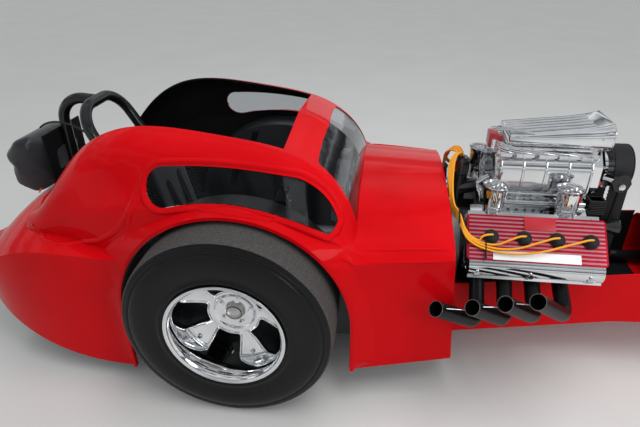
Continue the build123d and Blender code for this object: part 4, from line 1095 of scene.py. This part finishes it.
end_bolts = [(at(0.9635, end_ring_wide * across, 0.7825 + end_ring_high * up), (-1, 0, 0))
             for across, up in on_circle(10, 1, 18)]
corner_bolts = [(seat_on("blower_front_cover", at(1.6, across, cover_z + up), (-1, 0, 0)), (1, 0, 0))
                for across, up in on_circle(8, cover_bolt_r, 22.5)]
bolts("blower_foot_bolts", foot_bolts, "chassis", radius=0.0045, height=0.007, sides=12, washer=0.006)
bolts("blower_end_bolts", end_bolts, "chassis", radius=0.0045, height=0.006, sides=12, washer=0.006)
bolts("front_cover_bolts", corner_bolts, "chassis", radius=0.0045, height=0.006, sides=12, washer=0.006)

# %% [markdown]
# The injector hat is a polished scoop. Its mouth flares and ends in a thick rolled lip, five ribs run
# along the top, and inside the mouth one throttle shaft carries three flat blades.

# %% Injector hat
# Columns: x, half width, low z, top z, corner radius
hat_rows = [(0.9905, 0.090, 0.899, 0.938, 0.014), (0.992, 0.096, 0.8975, 0.942, 0.017),
            (0.996, 0.0985, 0.897, 0.9445, 0.018), (1.060, 0.1005, 0.897, 0.951, 0.021),
            (1.120, 0.103, 0.897, 0.958, 0.024), (1.185, 0.1055, 0.897, 0.9655, 0.027),
            (1.250, 0.108, 0.897, 0.973, 0.030), (1.290, 0.111, 0.8965, 0.9805, 0.034),
            (1.320, 0.1145, 0.8955, 0.987, 0.038), (1.341, 0.118, 0.894, 0.993, 0.042),
            (1.352, 0.1208, 0.893, 0.997, 0.044), (1.356, 0.1205, 0.8935, 0.9965, 0.0435),
            (1.3555, 0.117, 0.898, 0.9925, 0.040), (1.342, 0.1125, 0.900, 0.986, 0.037),
            (1.320, 0.1095, 0.9015, 0.980, 0.034), (1.250, 0.103, 0.902, 0.967, 0.026),
            (1.150, 0.099, 0.902, 0.956, 0.022)]


def hat_sort(centre, normal):
    x = centre.x - rear_axle_x
    inside = (abs(centre.y) < 0.104 and 0.9005 < centre.z < 0.982 and x > 1.155) and normal.dot(
        Vector((0, centre.y, centre.z - 0.93)).normalized()) < -0.2
    return 1 if inside or (x < 1.16 and normal.x > 0.9) else 0


hat = sectioned("hat", hat_rows, "mirror", "throat_grey", steps=8, sort=hat_sort)
mouth_line = rounded_ring(1.3545, 0.1188, 0.8955, 0.9945, 0.042, 8)
hat_parts = [hat, bar("lip", mouth_line + mouth_line[:1], 0.0036, "mirror", sides=12)]
rib_pitch = 0.030
outer_rib_drop = 0.0006
rib_line = [(0.998, 0.9447), (1.120, 0.9583), (1.250, 0.9733), (1.300, 0.9822)]
rib_section = [(-0.0065, -0.003), (-0.0062, 0.0018), (-0.0045, 0.0036), (0.0, 0.0042), (0.0045, 0.0036),
               (0.0062, 0.0018), (0.0065, -0.003)]
for step in range(-2, 3):
    drop = outer_rib_drop if abs(step) == 2 else 0
    rib = bmesh.new()
    bridge(rib, [[rib.verts.new(at(x, rib_pitch * step + across, z + rise - drop))
                  for across, rise in rib_section] for x, z in rib_line], True)
    hat_parts.append(smooth_by_angle(object_of("rib", rib, "mirror"), 50))
base = sectioned("base", [(0.9705, 0.095, 0.8853, 0.8968, 0.003), (1.2995, 0.095, 0.8853, 0.8968, 0.003)],
                 "polished", steps=3)
hat_parts.append(refine(base, bevel=0.001))
joined("injector", hat_parts, "chassis", "injector_hat")
base_bolts = [(at(x, side * 0.090, 0.897), (0, 0, 1)) for side in (-1, 1) for x in (0.978, 1.290)]
bolts("hat_base_bolts", base_bolts, "chassis", radius=0.004, height=0.006, sides=12, washer=0.005)
shaft_x, shaft_z, shaft_half = 1.318, 0.943, 0.1225
bar("throttle_shaft", [at(shaft_x, -shaft_half, shaft_z), at(shaft_x, shaft_half, shaft_z)], 0.0045, "polished",
    "chassis", 12)
blades = [(at(shaft_x, y, shaft_z), Vector((0.94, 0, 0.34)), Vector((0, 1, 0)), (0.066, 0.060, 0.002))
          for y in (-0.071, 0.0, 0.071)]
boxes("throttle_blades", blades, "chassis", "blade_metal", 0.0006)

# %% [markdown]
# Fuel reaches the hat and the blower through a red anodised block with braided and hard lines. Each
# line starts in a small hexagon fitting on the block and ends in a nozzle on the case.

# %% Fuel block, lines and nozzles
fuel_block = boxes("fuel_block", [(at(0.932, -0.070, 0.922), Vector((0, 0, 1)), ahead, (0.032, 0.060, 0.056)),
                                  (at(0.961, -0.062, 0.920), Vector((0, 0, 1)), ahead, (0.026, 0.024, 0.024))],
                   None, "block_red", 0.0025)
fit(fuel_block, "chassis", "fuel_lines")
nozzle_pitch = 0.082
line_r = 0.0028
line_parts, fittings, nozzles = [], [], []
for side in (-1, 1):
    for row in range(4):
        nozzle = at(1.012 + nozzle_pitch * row, side * 0.124, 0.872)
        start = at(0.932, -0.092 if side < 0 else -0.046, 0.900 + 0.008 * row)
        over = at(0.962 + 0.014 * row, side * 0.146, 0.900 + 0.003 * row)
        line_parts.append(bar("line", [start, start + Vector((0, side * 0.020, 0.004)), over,
                                       nozzle + Vector((0.0, side * 0.016, 0.016)), nozzle], line_r,
                              "polished"))
        nozzles.append((nozzle + Vector((0, side * 0.002, 0.001)), (0, side * 0.9, 0.44)))
        if side < 0:
            fittings.append((start + Vector((0, -0.010, 0)), (0, -1, 0)))
for offset in (0.0, 0.012, 0.024):
    line_parts.append(bar("line", [at(0.936, -0.070 + offset, 0.950), at(0.955, -0.070 + offset, 0.958),
                                   at(1.010, -0.080 + offset, 0.958), at(1.080, -0.094 + offset * 0.4, 0.951)],
                          0.0026, "polished"))
joined("hard_lines", line_parts, "chassis")
bolts("line_fittings", fittings, "chassis", radius=0.0055, height=0.010, washer=0.0065, finish_name="mirror")
bolts("nozzle_fittings", nozzles, "chassis", radius=0.0065, height=0.012, washer=0.009, finish_name="mirror")

# %% [markdown]
# Breather cups are spun from sheet, so they are one lathe profile with a rolled rim. Each stands on a
# clamp ring above the head.

# %% Cups on the heads
cup_profile = [(0.0, 0.0), (0.0, 0.0385), (0.0008, 0.0398), (0.030, 0.0415), (0.062, 0.0434), (0.070, 0.0440),
               (0.0735, 0.0458), (0.0765, 0.0474), (0.0788, 0.0479), (0.0800, 0.0470), (0.0796, 0.0456),
               (0.0765, 0.0440), (0.0705, 0.0410), (0.030, 0.0385), (0.008, 0.0368), (0.006, 0.0350),
               (0.006, 0.0)]
clamp_profile = [(-0.012, 0.030), (-0.012, 0.0372), (-0.0105, 0.0378), (-0.0015, 0.0378), (0.0, 0.0372),
                 (0.0, 0.030)]
cup_xs, cup_y, cup_z = (0.948, 1.216), 0.197, 0.704
cup_places = [at(x, side * cup_y, cup_z) for side in (-1, 1) for x in cup_xs]
joined("chrome_cups", [turned("cup", cup_profile, place, (0, 0, 1), 64, "mirror", False)
                       for place in cup_places], "chassis", "breather_cups")
joined("cup_rings", [turned("ring", clamp_profile, place, (0, 0, 1), 48, "polished", angle=40)
                     for place in cup_places], "chassis")

# %% [markdown]
# Exhaust pipes are black tubes cut square. The cut shows bright metal, a thin tie rod keeps the tips
# at equal distance, and a thick flange with two bolts holds each pipe to its port.

# %% Exhaust rims, tie rods and flanges
pipe_ends = [((0.897, 0.346), (0.722, 0.496)), ((0.997, 0.364), (0.841, 0.513)),
             ((1.097, 0.388), (0.944, 0.538)), ((1.197, 0.404), (1.045, 0.556))]
rim_profile = [(-0.0012, 0.0262), (0.0, 0.0266), (0.0003, 0.0274), (0.0, 0.0282), (-0.0012, 0.02865)]
pipe_out_r = 0.0285
rims, tip_rods, flanges, flange_bolts = [], [], [], []
for side in (-1, 1):
    tips = []
    for (port_x, elbow_z), (end_x, end_z) in pipe_ends:
        elbow = at(port_x, side * 0.470, elbow_z)
        tip = at(end_x, side * 0.600, end_z)
        run = (tip - elbow).normalized()
        rims.append(turned("rim", rim_profile, tip, run, 48, "dull_grey", angle=60))
        tips.append((tip - run * 0.022, run))
        port = on_bank(port_x, -0.1545, 0.297, side)
        flanges.append((port - bank_up(side) * 0.006, -bank_up(side), ahead, (0.098, 0.066, 0.010)))
        for toward in (-1, 1):
            place = port - bank_up(side) * 0.011 + ahead * 0.040 * toward
            flange_bolts.append((place, -bank_up(side)))
    for (first, first_run), (second, second_run) in zip(tips, tips[1:]):
        gap = second - first
        near = (gap - first_run * gap.dot(first_run)).normalized()
        far = (gap - second_run * gap.dot(second_run)).normalized()
        tip_rods.append(bar("rod", [first + near * pipe_out_r, second - far * pipe_out_r], 0.0017, "polished",
                            sides=8))
joined("pipe_rims", rims, "chassis")
joined("pipe_tie_rods", tip_rods, "chassis")
boxes("pipe_flanges", flanges, "chassis", "pipe_black", 0.002)
bolts("flange_bolts", flange_bolts, "chassis", radius=0.006, height=0.008, sides=12, washer=0.008)

# %% [markdown]
# A flat plate closes the valley beside the intake manifold on each side. Its studs leave room for the
# breather cups.

# %% Plates and nuts of the manifold
valley_plates = [(at(1.095, side * 0.156, 0.648), Vector((0, side * 0.35, 1)).normalized(), ahead,
                  (0.440, 0.060, 0.005)) for side in (-1, 1)]
boxes("valley_plates", valley_plates, "chassis", "polished", 0.001)
cup_room = 0.045
stud_pitch = 0.034
stud_xs = [0.960 + stud_pitch * step for step in range(11)]
stud_places = [(at(x, side * 0.168, 0.644), (0, side * 0.33, 0.94)) for side in (-1, 1) for x in stud_xs
               if all(abs(x - cup_x) > cup_room for cup_x in cup_xs)]
bolts("manifold_nuts", stud_places, "chassis", radius=0.006, height=0.012, washer=0.009, finish_name="mirror")

# %% [markdown]
# Head bolts stand in a row between the covers and the blower, and the belt guard side carries an idler
# roller with its arm. A finned relief valve sits in front of the case.

# %% Head bolts, idler and small castings
head_bolt_pitch = 0.086
head_bolts = [(on_bank(0.880 + head_bolt_pitch * step, 0.032, 0.3485, side), bank_out(side))
              for side in (-1, 1) for step in range(6)]
bolts("head_bolts", head_bolts, "chassis", radius=0.007, height=0.010, sides=12, washer=0.009)

plate_profile = [(0.0, 0.0), (0.0, 0.036), (0.002, 0.038), (0.010, 0.038), (0.012, 0.036), (0.012, 0.0)]
plate_nut = [(0.012, 0.0), (0.012, 0.014), (0.019, 0.013), (0.022, 0.009), (0.023, 0.0)]
roller_profile = [(0.0, 0.0), (0.0, 0.020), (0.010, 0.021), (0.030, 0.031), (0.048, 0.034), (0.050, 0.032),
                  (0.050, 0.0)]
plate_place, plate_out = at(1.416, -0.126, 0.779), Vector((0.15, -1, 0.1)).normalized()
roller_place = at(1.402, -0.130, 0.593)
idler_parts = [
    turned("plate", plate_profile, plate_place, plate_out, 8, "tube_black", False, 30),
    turned("nut", plate_nut, plate_place + Vector((0, 0, -0.012)), plate_out, 16, "polished", False, 30),
    turned("roller", roller_profile, roller_place, (1, 0, 0), 40, "cap_black", False, 30),
    bar("arm", [at(1.416, -0.128, 0.770), at(1.410, -0.138, 0.690), at(1.408, -0.130, 0.600)], 0.005,
        "deep_black", sides=12),
    bar("stay", [at(1.416, -0.124, 0.779), at(1.392, -0.112, 0.782), at(1.360, -0.098, 0.786)], 0.009,
        "polished", sides=12)]
joined("belt_idler", idler_parts, "chassis")
fins = [(at(1.352, -0.116, 0.676), Vector((0, 0, 1)), ahead, (0.046, 0.034, 0.056))]
fins += [(at(1.352, -0.116, 0.650 + 0.0075 * step), Vector((0, 0, 1)), ahead, (0.064, 0.050, 0.003))
         for step in range(8)]
boxes("relief_fins", fins, "chassis", "iron_black", 0.0004, 1)
cone_profile = [(0.0, 0.0), (0.0, 0.046), (0.006, 0.050), (0.014, 0.050), (0.020, 0.044), (0.034, 0.030),
                (0.044, 0.022), (0.050, 0.0)]
fit(turned("crank_hub", cone_profile, at(1.470, 0, crank_z), (1, 0, 0), 40, "polished", False, 40), "chassis")
pulley_front_x = 1.4725
pulley_bolts = [(at(pulley_front_x, across, middle_z + up), (1, 0, 0)) for radius, middle_z in
                ((0.070, crank_z), (0.055, 0.798)) for across, up in on_circle(6, radius)]
bolts("pulley_bolts", pulley_bolts, "chassis", height=0.006)
print("engine dressed")

# %% [markdown]
# The body is one skin of glass fibre: polished red gel outside, flat black inside. A real maker sprays
# the two sides in one go with masks between them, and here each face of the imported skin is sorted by
# whether it looks towards the middle line of the car or away from it. The line ends short of the tail,
# so the faces there are judged from its last point, and a face that all its neighbours outvote follows
# them.

# %% Body skin, red outside and black inside
tail_depth = 0.4
vote_turns = 3
inside_limit = -0.25
same_way = 0.8


def sort_skin(name, node_name, middle_z):
    """A copy of a packed skin with its inner faces in black."""
    shape = merged(node_name)
    tail_x = min(vertex.co.x for vertex in shape.verts) + tail_depth
    for face in shape.faces:
        centre = face.calc_center_median()
        outward = Vector((min(0, centre.x - tail_x), centre.y, centre.z - middle_z)).normalized()
        face.material_index = 1 if face.normal.dot(outward) < inside_limit else 0
    for turn in range(vote_turns):
        votes = [[near.material_index for edge in face.edges for near in edge.link_faces
                  if near is not face and near.normal.dot(face.normal) > same_way] for face in shape.faces]
        for face, vote in zip(shape.faces, votes):
            if vote and sum(vote) in (0, len(vote)):
                face.material_index = vote[0]
    inner = sum(face.material_index for face in shape.faces)
    obj = even_shading(smooth_by_angle(object_of(name, shape, "gloss_red", "deep_black"), 32))
    print(name, len(obj.data.polygons), "faces,", inner, "inside")
    return fit(obj, "chassis", node_name)


body_skin = sort_skin("body_skin", "coupe_shell", 0.45)
sort_skin("side_panel_skin", "front_side_panels", 0.32)

# %% [markdown]
# A moulded body has rolled lips where a flat sheet would have raw edges. Round the side window the
# skin stands up in a soft lip, the rear quarter ends in a U-shaped crease behind the window, and two
# fine lines run along the belt step of the door. Each is a low bell-shaped ridge swept over the skin:
# every point of its line is found by a ray shot at the skin from the side.

# %% Ridges that follow the skin
skin_shape = bmesh.new()
skin_shape.from_mesh(body_skin.data)
skin_tree = BVHTree.FromBMesh(skin_shape)
skin_shape.free()
ridge_columns = 9
ridge_root = 0.002


def on_skin(x, z, side=-1):
    """The point of the skin and its outward direction at this x and z, seen from the side."""
    hit, normal, index, distance = skin_tree.ray_cast(at(x, side * 0.9, z), Vector((0, -side, 0)))
    if hit is None or hit.y * side < 0.2:
        return None
    return hit, (normal if normal.y * side > 0 else -normal)


def ridge(name, line, half_width, height, closed=False, fade=0.0):
    """A soft ridge along (x, z) points on both sides of the car. It may fade out at its ends."""
    halves = []
    for side in (-1, 1):
        places = [place for place in (on_skin(x, z, side) for x, z in line) if place]
        shape = bmesh.new()
        rings = []
        for index, (centre, out) in enumerate(places):
            before = places[index - 1 if closed else max(0, index - 1)][0]
            after = places[(index + 1) % len(places) if closed else min(len(places) - 1, index + 1)][0]
            across = (after - before).normalized().cross(out).normalized()
            share = index / (len(places) - 1)
            rise = height * min(1.0, share / fade, (1 - share) / fade) if fade else height
            ring = []
            for column in range(ridge_columns):
                u = 2 * column / (ridge_columns - 1) - 1
                lift = rise * (1 + math.cos(math.pi * u)) / 2 - ridge_root * (abs(u) == 1)
                ring.append(shape.verts.new(centre + across * u * half_width + out * lift))
            rings.append(ring)
        bridge(shape, rings + rings[:1] if closed else rings, not closed)
        halves.append(smooth_by_angle(object_of(name + "_half", shape, "gloss_red"), 70))
    return joined(name, halves, "chassis")


# %% [markdown]
# The window's own edge gives the line of its lip. The pane fills the opening, so the sharp edges of its
# outer face are followed round, pushed 14 mm outwards, and dropped on the skin again.

# %% Window lip
lip_offset = 0.014
rim_slant, face_slant = 0.05, 0.12


def pane_edge(side=-1):
    """The outer edge of a side pane as (x, z) points in order."""
    shape = merged("side_windows")
    steps = {}
    for edge in shape.edges:
        if edge.verts[0].co.y * side < 0 or len(edge.link_faces) != 2:
            continue
        slants = sorted(face.normal.y * side for face in edge.link_faces)
        if abs(slants[0]) > rim_slant or slants[1] < face_slant:
            continue
        first, second = edge.verts
        steps.setdefault(first.index, []).append(second.index)
        steps.setdefault(second.index, []).append(first.index)
    shape.verts.ensure_lookup_table()
    start = min(steps, key=lambda index: shape.verts[index].co.x)
    order, before = [start], None
    while True:
        onward = [index for index in steps[order[-1]] if index != before]
        before = order[-1]
        if not onward or onward[0] == start or len(order) > len(steps):
            break
        order.append(onward[0])
    line = [(shape.verts[index].co.x - rear_axle_x, shape.verts[index].co.z) for index in order]
    shape.free()
    return line


def even_line(line, count, closed=True):
    """The same line as evenly spaced points."""
    ring = line + [line[0]] if closed else line
    lengths = [math.dist(first, second) for first, second in zip(ring, ring[1:])]
    total = sum(lengths)
    points, walked, index = [], 0.0, 0
    for step in range(count):
        target = total * step / (count if closed else count - 1)
        while index < len(lengths) - 1 and walked + lengths[index] < target:
            walked += lengths[index]
            index += 1
        share = min(1.0, (target - walked) / max(lengths[index], 1e-9))
        points.append(tuple(a + share * (b - a) for a, b in zip(ring[index], ring[index + 1])))
    return points


def pushed_out(line, distance):
    """A closed line moved outwards along its normals."""
    area = sum(a[0] * b[1] - b[0] * a[1] for a, b in zip(line, line[1:] + line[:1]))
    turn = 1 if area > 0 else -1
    moved = []
    for index, point in enumerate(line):
        before, after = line[index - 1], line[(index + 1) % len(line)]
        run = Vector((after[0] - before[0], after[1] - before[1])).normalized()
        moved.append((point[0] + turn * run.y * distance, point[1] - turn * run.x * distance))
    return moved


window_edge = even_line(pane_edge(), 90)
window_lip = ridge("window_lip", pushed_out(window_edge, lip_offset), 0.0145, 0.0065, closed=True)
print("window lip", len(window_lip.data.polygons), "faces round", len(window_edge), "points")

# %% [markdown]
# The creases are drawn as a few points each, spaced out evenly, and swept like the lip. They
# fade out at both ends, because a crease in a moulded panel runs out softly.

# %% Crease behind the window and lines of the belt step
quarter_line = [(-0.850, 0.610), (-0.771, 0.595), (-0.682, 0.592), (-0.583, 0.598), (-0.515, 0.619),
                (-0.449, 0.662), (-0.399, 0.708), (-0.355, 0.769), (-0.325, 0.827), (-0.306, 0.885),
                (-0.290, 0.930)]
flare_line = [(-0.398, 0.640), (-0.371, 0.715), (-0.338, 0.790), (-0.300, 0.850), (-0.262, 0.895)]
step_lines = [[(0.459, 0.656), (0.593, 0.655), (0.679, 0.653), (0.765, 0.651)],
              [(0.475, 0.629), (0.595, 0.625), (0.680, 0.622), (0.765, 0.619)]]
ridge("quarter_crease", even_line(quarter_line, 60, False), 0.016, 0.006, fade=0.2)
ridge("flare_crease", even_line(flare_line, 30, False), 0.012, 0.005, fade=0.35)
for number, line in enumerate(step_lines):
    ridge("belt_line_" + str(number + 1), even_line(line, 24, False), 0.006, 0.003, fade=0.1)
# %% [markdown]
# The parachute pack is a cloth bag gathered round a folded canopy, and the seat cushion is fabric over
# foam. Both start as the imported solid and are blown up a little by the cloth solver: the pressure
# fills them and the fabric finds its own wrinkles. The pack is first drawn in at its neck, as its tie
# does.

# %% Fabric by simulation
cloth_frames = 20
fabric = {"quality": 4, "mass": 0.3, "tension_stiffness": 14, "compression_stiffness": 9, "shear_stiffness": 5,
          "bending_stiffness": 0.3, "use_pressure": True, "shrink_min": -0.06}


def soft_solid(name, node_name, voxel, shrink, pressure, finish_name, shape_by=None, cap=0.02, softening=4):
    """A cloth-simulated copy of a packed soft node, kept within a small distance of it."""
    mesh = nodes[node_name].data.copy()
    mesh.name = name
    obj = in_scene(name, mesh)
    middle = sum((vertex.co for vertex in mesh.vertices), Vector()) / len(mesh.vertices)
    for vertex in mesh.vertices:
        vertex.co = middle + (vertex.co - middle) * shrink
    remesh = obj.modifiers.new("even", "REMESH")
    remesh.mode = "VOXEL"
    remesh.voxel_size = voxel
    obj = settle(obj)
    if shape_by:
        for vertex in obj.data.vertices:
            vertex.co = shape_by(vertex.co)
    shape = bmesh.new()
    shape.from_mesh(obj.data)
    for turn in range(softening):
        bmesh.ops.smooth_vert(shape, verts=shape.verts, factor=0.5, use_axis_x=True, use_axis_y=True,
                              use_axis_z=True)
    shape.to_mesh(obj.data)
    shape.free()
    rest = [vertex.co.copy() for vertex in obj.data.vertices]
    cloth = obj.modifiers.new("cloth", "CLOTH")
    for setting, value in fabric.items():
        setattr(cloth.settings, setting, value)
    cloth.settings.uniform_pressure_force = pressure
    cloth.settings.effector_weights.gravity = 0.0
    cloth.point_cache.frame_start = 1
    cloth.point_cache.frame_end = cloth_frames
    scene = bpy.context.scene
    for frame_number in range(1, cloth_frames + 1):
        scene.frame_set(frame_number)
    obj = settle(obj)
    scene.frame_set(1)
    for vertex, place in zip(obj.data.vertices, rest):
        move = vertex.co - place
        if move.length > cap:
            vertex.co = place + move.normalized() * cap
    obj = refine(obj, levels=1)
    obj.data.materials.clear()
    obj.data.materials.append(finish[finish_name])
    obj.name = name
    return smooth_by_angle(obj, 80)


pack_low, pack_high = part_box("parachute_pack")
pack_middle = (pack_low + pack_high) / 2


def gathered(place):
    """Draws the bag in towards its tray and lets folds run out from the neck."""
    along = (pack_high.x - place.x) / (pack_high.x - pack_low.x)
    turn = math.atan2(place.z - pack_middle.z, place.y - pack_middle.y)
    neck = 1 - 0.16 * math.exp(-((along - 0.10) / 0.10) ** 2)
    fold = 1 + 0.022 * math.sin(turn * 13 + along * 4) * math.exp(-((along - 0.2) / 0.25) ** 2)
    sag = -0.010 * math.sin(math.pi * along)
    return Vector((place.x, pack_middle.y + (place.y - pack_middle.y) * neck * fold,
                   pack_middle.z + (place.z - pack_middle.z) * neck * fold + sag))


chute = soft_solid("parachute_bag", "parachute_pack", 0.007, 0.965, 4.0, "pack_cloth", gathered, softening=24)
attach(chute, "chassis")
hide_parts("parachute_pack")
cushion = soft_solid("seat_cushion", "seat_pad", 0.006, 0.975, 3.0, "seat_cloth", cap=0.006)
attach(cushion, "chassis")
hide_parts("seat_pad")
print("bag", len(chute.data.polygons), "faces, cushion", len(cushion.data.polygons))

# %% [markdown]
# A cable runs forward from the pin of the bag to the release lever in the cockpit, and an orange tab
# hangs at the tail.

# %% Release cable and tail tab
bar("release_cable", [at(-0.960, -0.060, 0.890), at(-0.900, -0.100, 0.930), at(-0.780, -0.140, 0.950),
                      at(-0.640, -0.180, 0.905), at(-0.560, -0.200, 0.800)], 0.004, "boot_black", "chassis", 8)
boxes("tail_tab", [(at(-0.985, -0.120, 0.640), Vector((-0.8, -0.3, 0.5)).normalized(), Vector((0, 1, 0)),
                    (0.040, 0.060, 0.006))], "chassis", "tag_orange", 0.001)

# %% [markdown]
# The cockpit is bare: a fabric cushion on the bucket, a five-point harness, a row of gauges on the
# panel, two levers and three pedals. Webbing is a flat ribbon, so it is swept from a thin rectangle
# along a line instead of a round one.

# %% Harness and controls


def strap(points, across, width=0.048, thickness=0.003):
    """Flat webbing through points, with its width along one fixed direction."""
    across = Vector(across).normalized()
    shape = bmesh.new()
    rings = []
    for index, point in enumerate(points):
        before = points[max(0, index - 1)]
        after = points[min(len(points) - 1, index + 1)]
        run = (after - before).normalized()
        level = (across - run * across.dot(run)).normalized()
        out = level.cross(run)
        rings.append([shape.verts.new(point + level * a * width / 2 + out * b * thickness / 2)
                      for a, b in ((-1, -1), (1, -1), (1, 1), (-1, 1))])
    bridge(shape, rings, True)
    return smooth_by_angle(refine(object_of("strap", shape, "strap_grey"), levels=1), 50)


# Columns: x, distance from the middle line, z
shoulder_line = [(-0.560, 0.060, 0.830), (-0.505, 0.062, 0.812), (-0.462, 0.064, 0.790), (-0.430, 0.062, 0.700),
                 (-0.395, 0.055, 0.560), (-0.345, 0.045, 0.430), (-0.300, 0.030, 0.360)]
lap_line = [(-0.370, 0.158, 0.335), (-0.330, 0.140, 0.345), (-0.300, 0.090, 0.352), (-0.285, 0.030, 0.357)]
straps = [strap([at(x, side * off, z) for x, off, z in line], across) for side in (-1, 1)
          for line, across in ((shoulder_line, (0, 1, 0)), (lap_line, (1, 0, 0.4)))]
joined("harness_straps", straps, "chassis")
boxes("harness_buckle", [(at(-0.290, 0, 0.366), Vector((0.3, 0, 1)), ahead, (0.056, 0.060, 0.014))],
      "chassis", "polished", 0.003)

# %% [markdown]
# A gauge is two lathed parts, a polished bezel and a plain pale dial. The levers and pedals are round
# bars with a turned knob or a flat pad at the end.

# %% Gauges, levers and pedals
dash_x = 0.3945
bezels, dials = [], []
for y, z, radius in ((-0.150, 0.690, 0.052), (-0.030, 0.700, 0.038), (0.060, 0.700, 0.038),
                     (0.150, 0.690, 0.030), (0.225, 0.680, 0.030)):
    bezel = [(0.0, radius), (0.010, radius), (0.012, radius * 0.97), (0.012, radius * 0.88),
             (0.008, radius * 0.86), (0.0, radius * 0.86)]
    dial = [(0.0, 0.0), (0.0, radius * 0.87), (0.006, radius * 0.87), (0.006, 0.0)]
    bezels.append(turned("bezel", bezel, at(dash_x, y, z), (-1, 0, 0), 40, "polished", angle=40))
    dials.append(object_of("dial", lathe(dial, at(dash_x, y, z), (-1, 0, 0), 40, False), "gauge_face"))
joined("gauge_bezels", bezels, "chassis")
joined("gauge_dials", dials, "chassis")

lever_lines = [[(-0.060, -0.160, 0.250), (-0.055, -0.170, 0.400), (-0.020, -0.176, 0.540)],
               [(0.080, 0.190, 0.250), (0.085, 0.190, 0.380), (0.060, 0.190, 0.500)]]
knob = [(0.0, 0.0), (0.0, 0.010), (0.010, 0.018), (0.026, 0.020), (0.036, 0.012), (0.038, 0.0)]
levers = [bar("lever", [at(*place) for place in line], 0.010, "polished", sides=12) for line in lever_lines]
levers += [turned("knob", knob, at(*place), (0, 0, 1), 24, "cap_black", False)
           for place in ((-0.018, -0.176, 0.545), (0.058, 0.190, 0.505))]
joined("hand_levers", levers, "chassis")
pedal_ys = (-0.120, 0.0, 0.120)
pedals = [(at(0.640, y, 0.360), Vector((-0.86, 0, 0.5)), Vector((0, 1, 0)), (0.070, 0.110, 0.008))
          for y in pedal_ys]
boxes("pedal_pads", pedals, "chassis", "polished", 0.003)
joined("pedal_arms", [bar("arm", [at(0.645, y, 0.355), at(0.690, y, 0.300), at(0.700, y, 0.222)], 0.008,
                          "tube_black") for y in pedal_ys], "chassis")

# %% [markdown]
# Over the dash sits a black sheet hood, pressed with shallow folds that fan out towards the screen.

# %% Dash hood
hood = bmesh.new()
fold_count = 22
fold_height = 0.006
hood_half = 0.41
sheet_thickness = 0.003
near_row, far_row = [], []
for step in range(fold_count + 1):
    share = step / fold_count
    y = hood_half * (2 * share - 1)
    crown = 1 - (2 * share - 1) ** 2
    lift = fold_height if step % 2 else 0.0
    near_row.append(hood.verts.new(at(0.340 - 0.02 * crown, y * 0.90, 0.690 + 0.055 * crown + lift)))
    far_row.append(hood.verts.new(at(0.470, y * 0.98, 0.668 + 0.040 * crown + lift * 0.5)))
for step in range(fold_count):
    hood.faces.new((near_row[step], near_row[step + 1], far_row[step + 1], far_row[step]))
sheet = bmesh.ops.extrude_face_region(hood, geom=list(hood.faces))
bmesh.ops.translate(hood, verts=[item for item in sheet["geom"] if isinstance(item, bmesh.types.BMVert)],
                    vec=(0, 0, -sheet_thickness))
bmesh.ops.recalc_face_normals(hood, faces=hood.faces)
fit(smooth_by_angle(object_of("dash_hood", hood, "cap_black"), 20), "chassis")
print("cockpit dressed")

# %% [markdown]
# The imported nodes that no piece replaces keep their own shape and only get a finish. The replaced ones
# get one too, so that nothing on the car is left without a material.

# %% Finishes on the CAD nodes
node_finish = {
    "coupe_shell": "gloss_red", "front_side_panels": "gloss_red", "nose_shell": "gloss_red",
    "windscreen": "screen_sheet", "side_windows": "clear_sheet",
    "firewall": "polished", "floor_pan": "deep_black", "dash_panel": "deep_black", "wheel_tubs": "tub_black",
    "frame_rails": "tube_black", "roll_cage": "tube_black", "seat_shell": "deep_black",
    "seat_pad": "seat_cloth", "rear_axle": "iron_black", "driveline": "cast_grey",
    "engine_block": "iron_black", "cylinder_heads": "polished", "valve_covers": "cover_red",
    "breather_cups": "mirror", "intake_manifold": "polished", "blower_case": "polished",
    "blower_front_cover": "mirror", "drive_pulleys": "tube_black", "blower_belt": "belt_rubber",
    "injector_hat": "mirror", "fuel_lines": "cover_red", "magneto": "tube_black",
    "plug_wires": "wire_yellow", "exhaust_pipes": "pipe_black", "front_axle": "mirror",
    "knuckle_right": "polished", "knuckle_left": "polished", "tie_rod": "polished",
    "rear_wheel_right": "mirror", "rear_wheel_left": "mirror", "front_wheel_right": "mirror",
    "front_wheel_left": "mirror", "rear_tyre_right": "tyre_side", "rear_tyre_left": "tyre_side",
    "front_tyre_right": "tyre_side", "front_tyre_left": "tyre_side", "steering_wheel": "deep_black",
    "parachute_pack": "pack_cloth", "parachute_tray": "deep_black",
}
for name, finish_name in node_finish.items():
    for slot in nodes[name].material_slots:
        slot.material = finish[finish_name]
print("finishes set on", len(node_finish), "nodes")
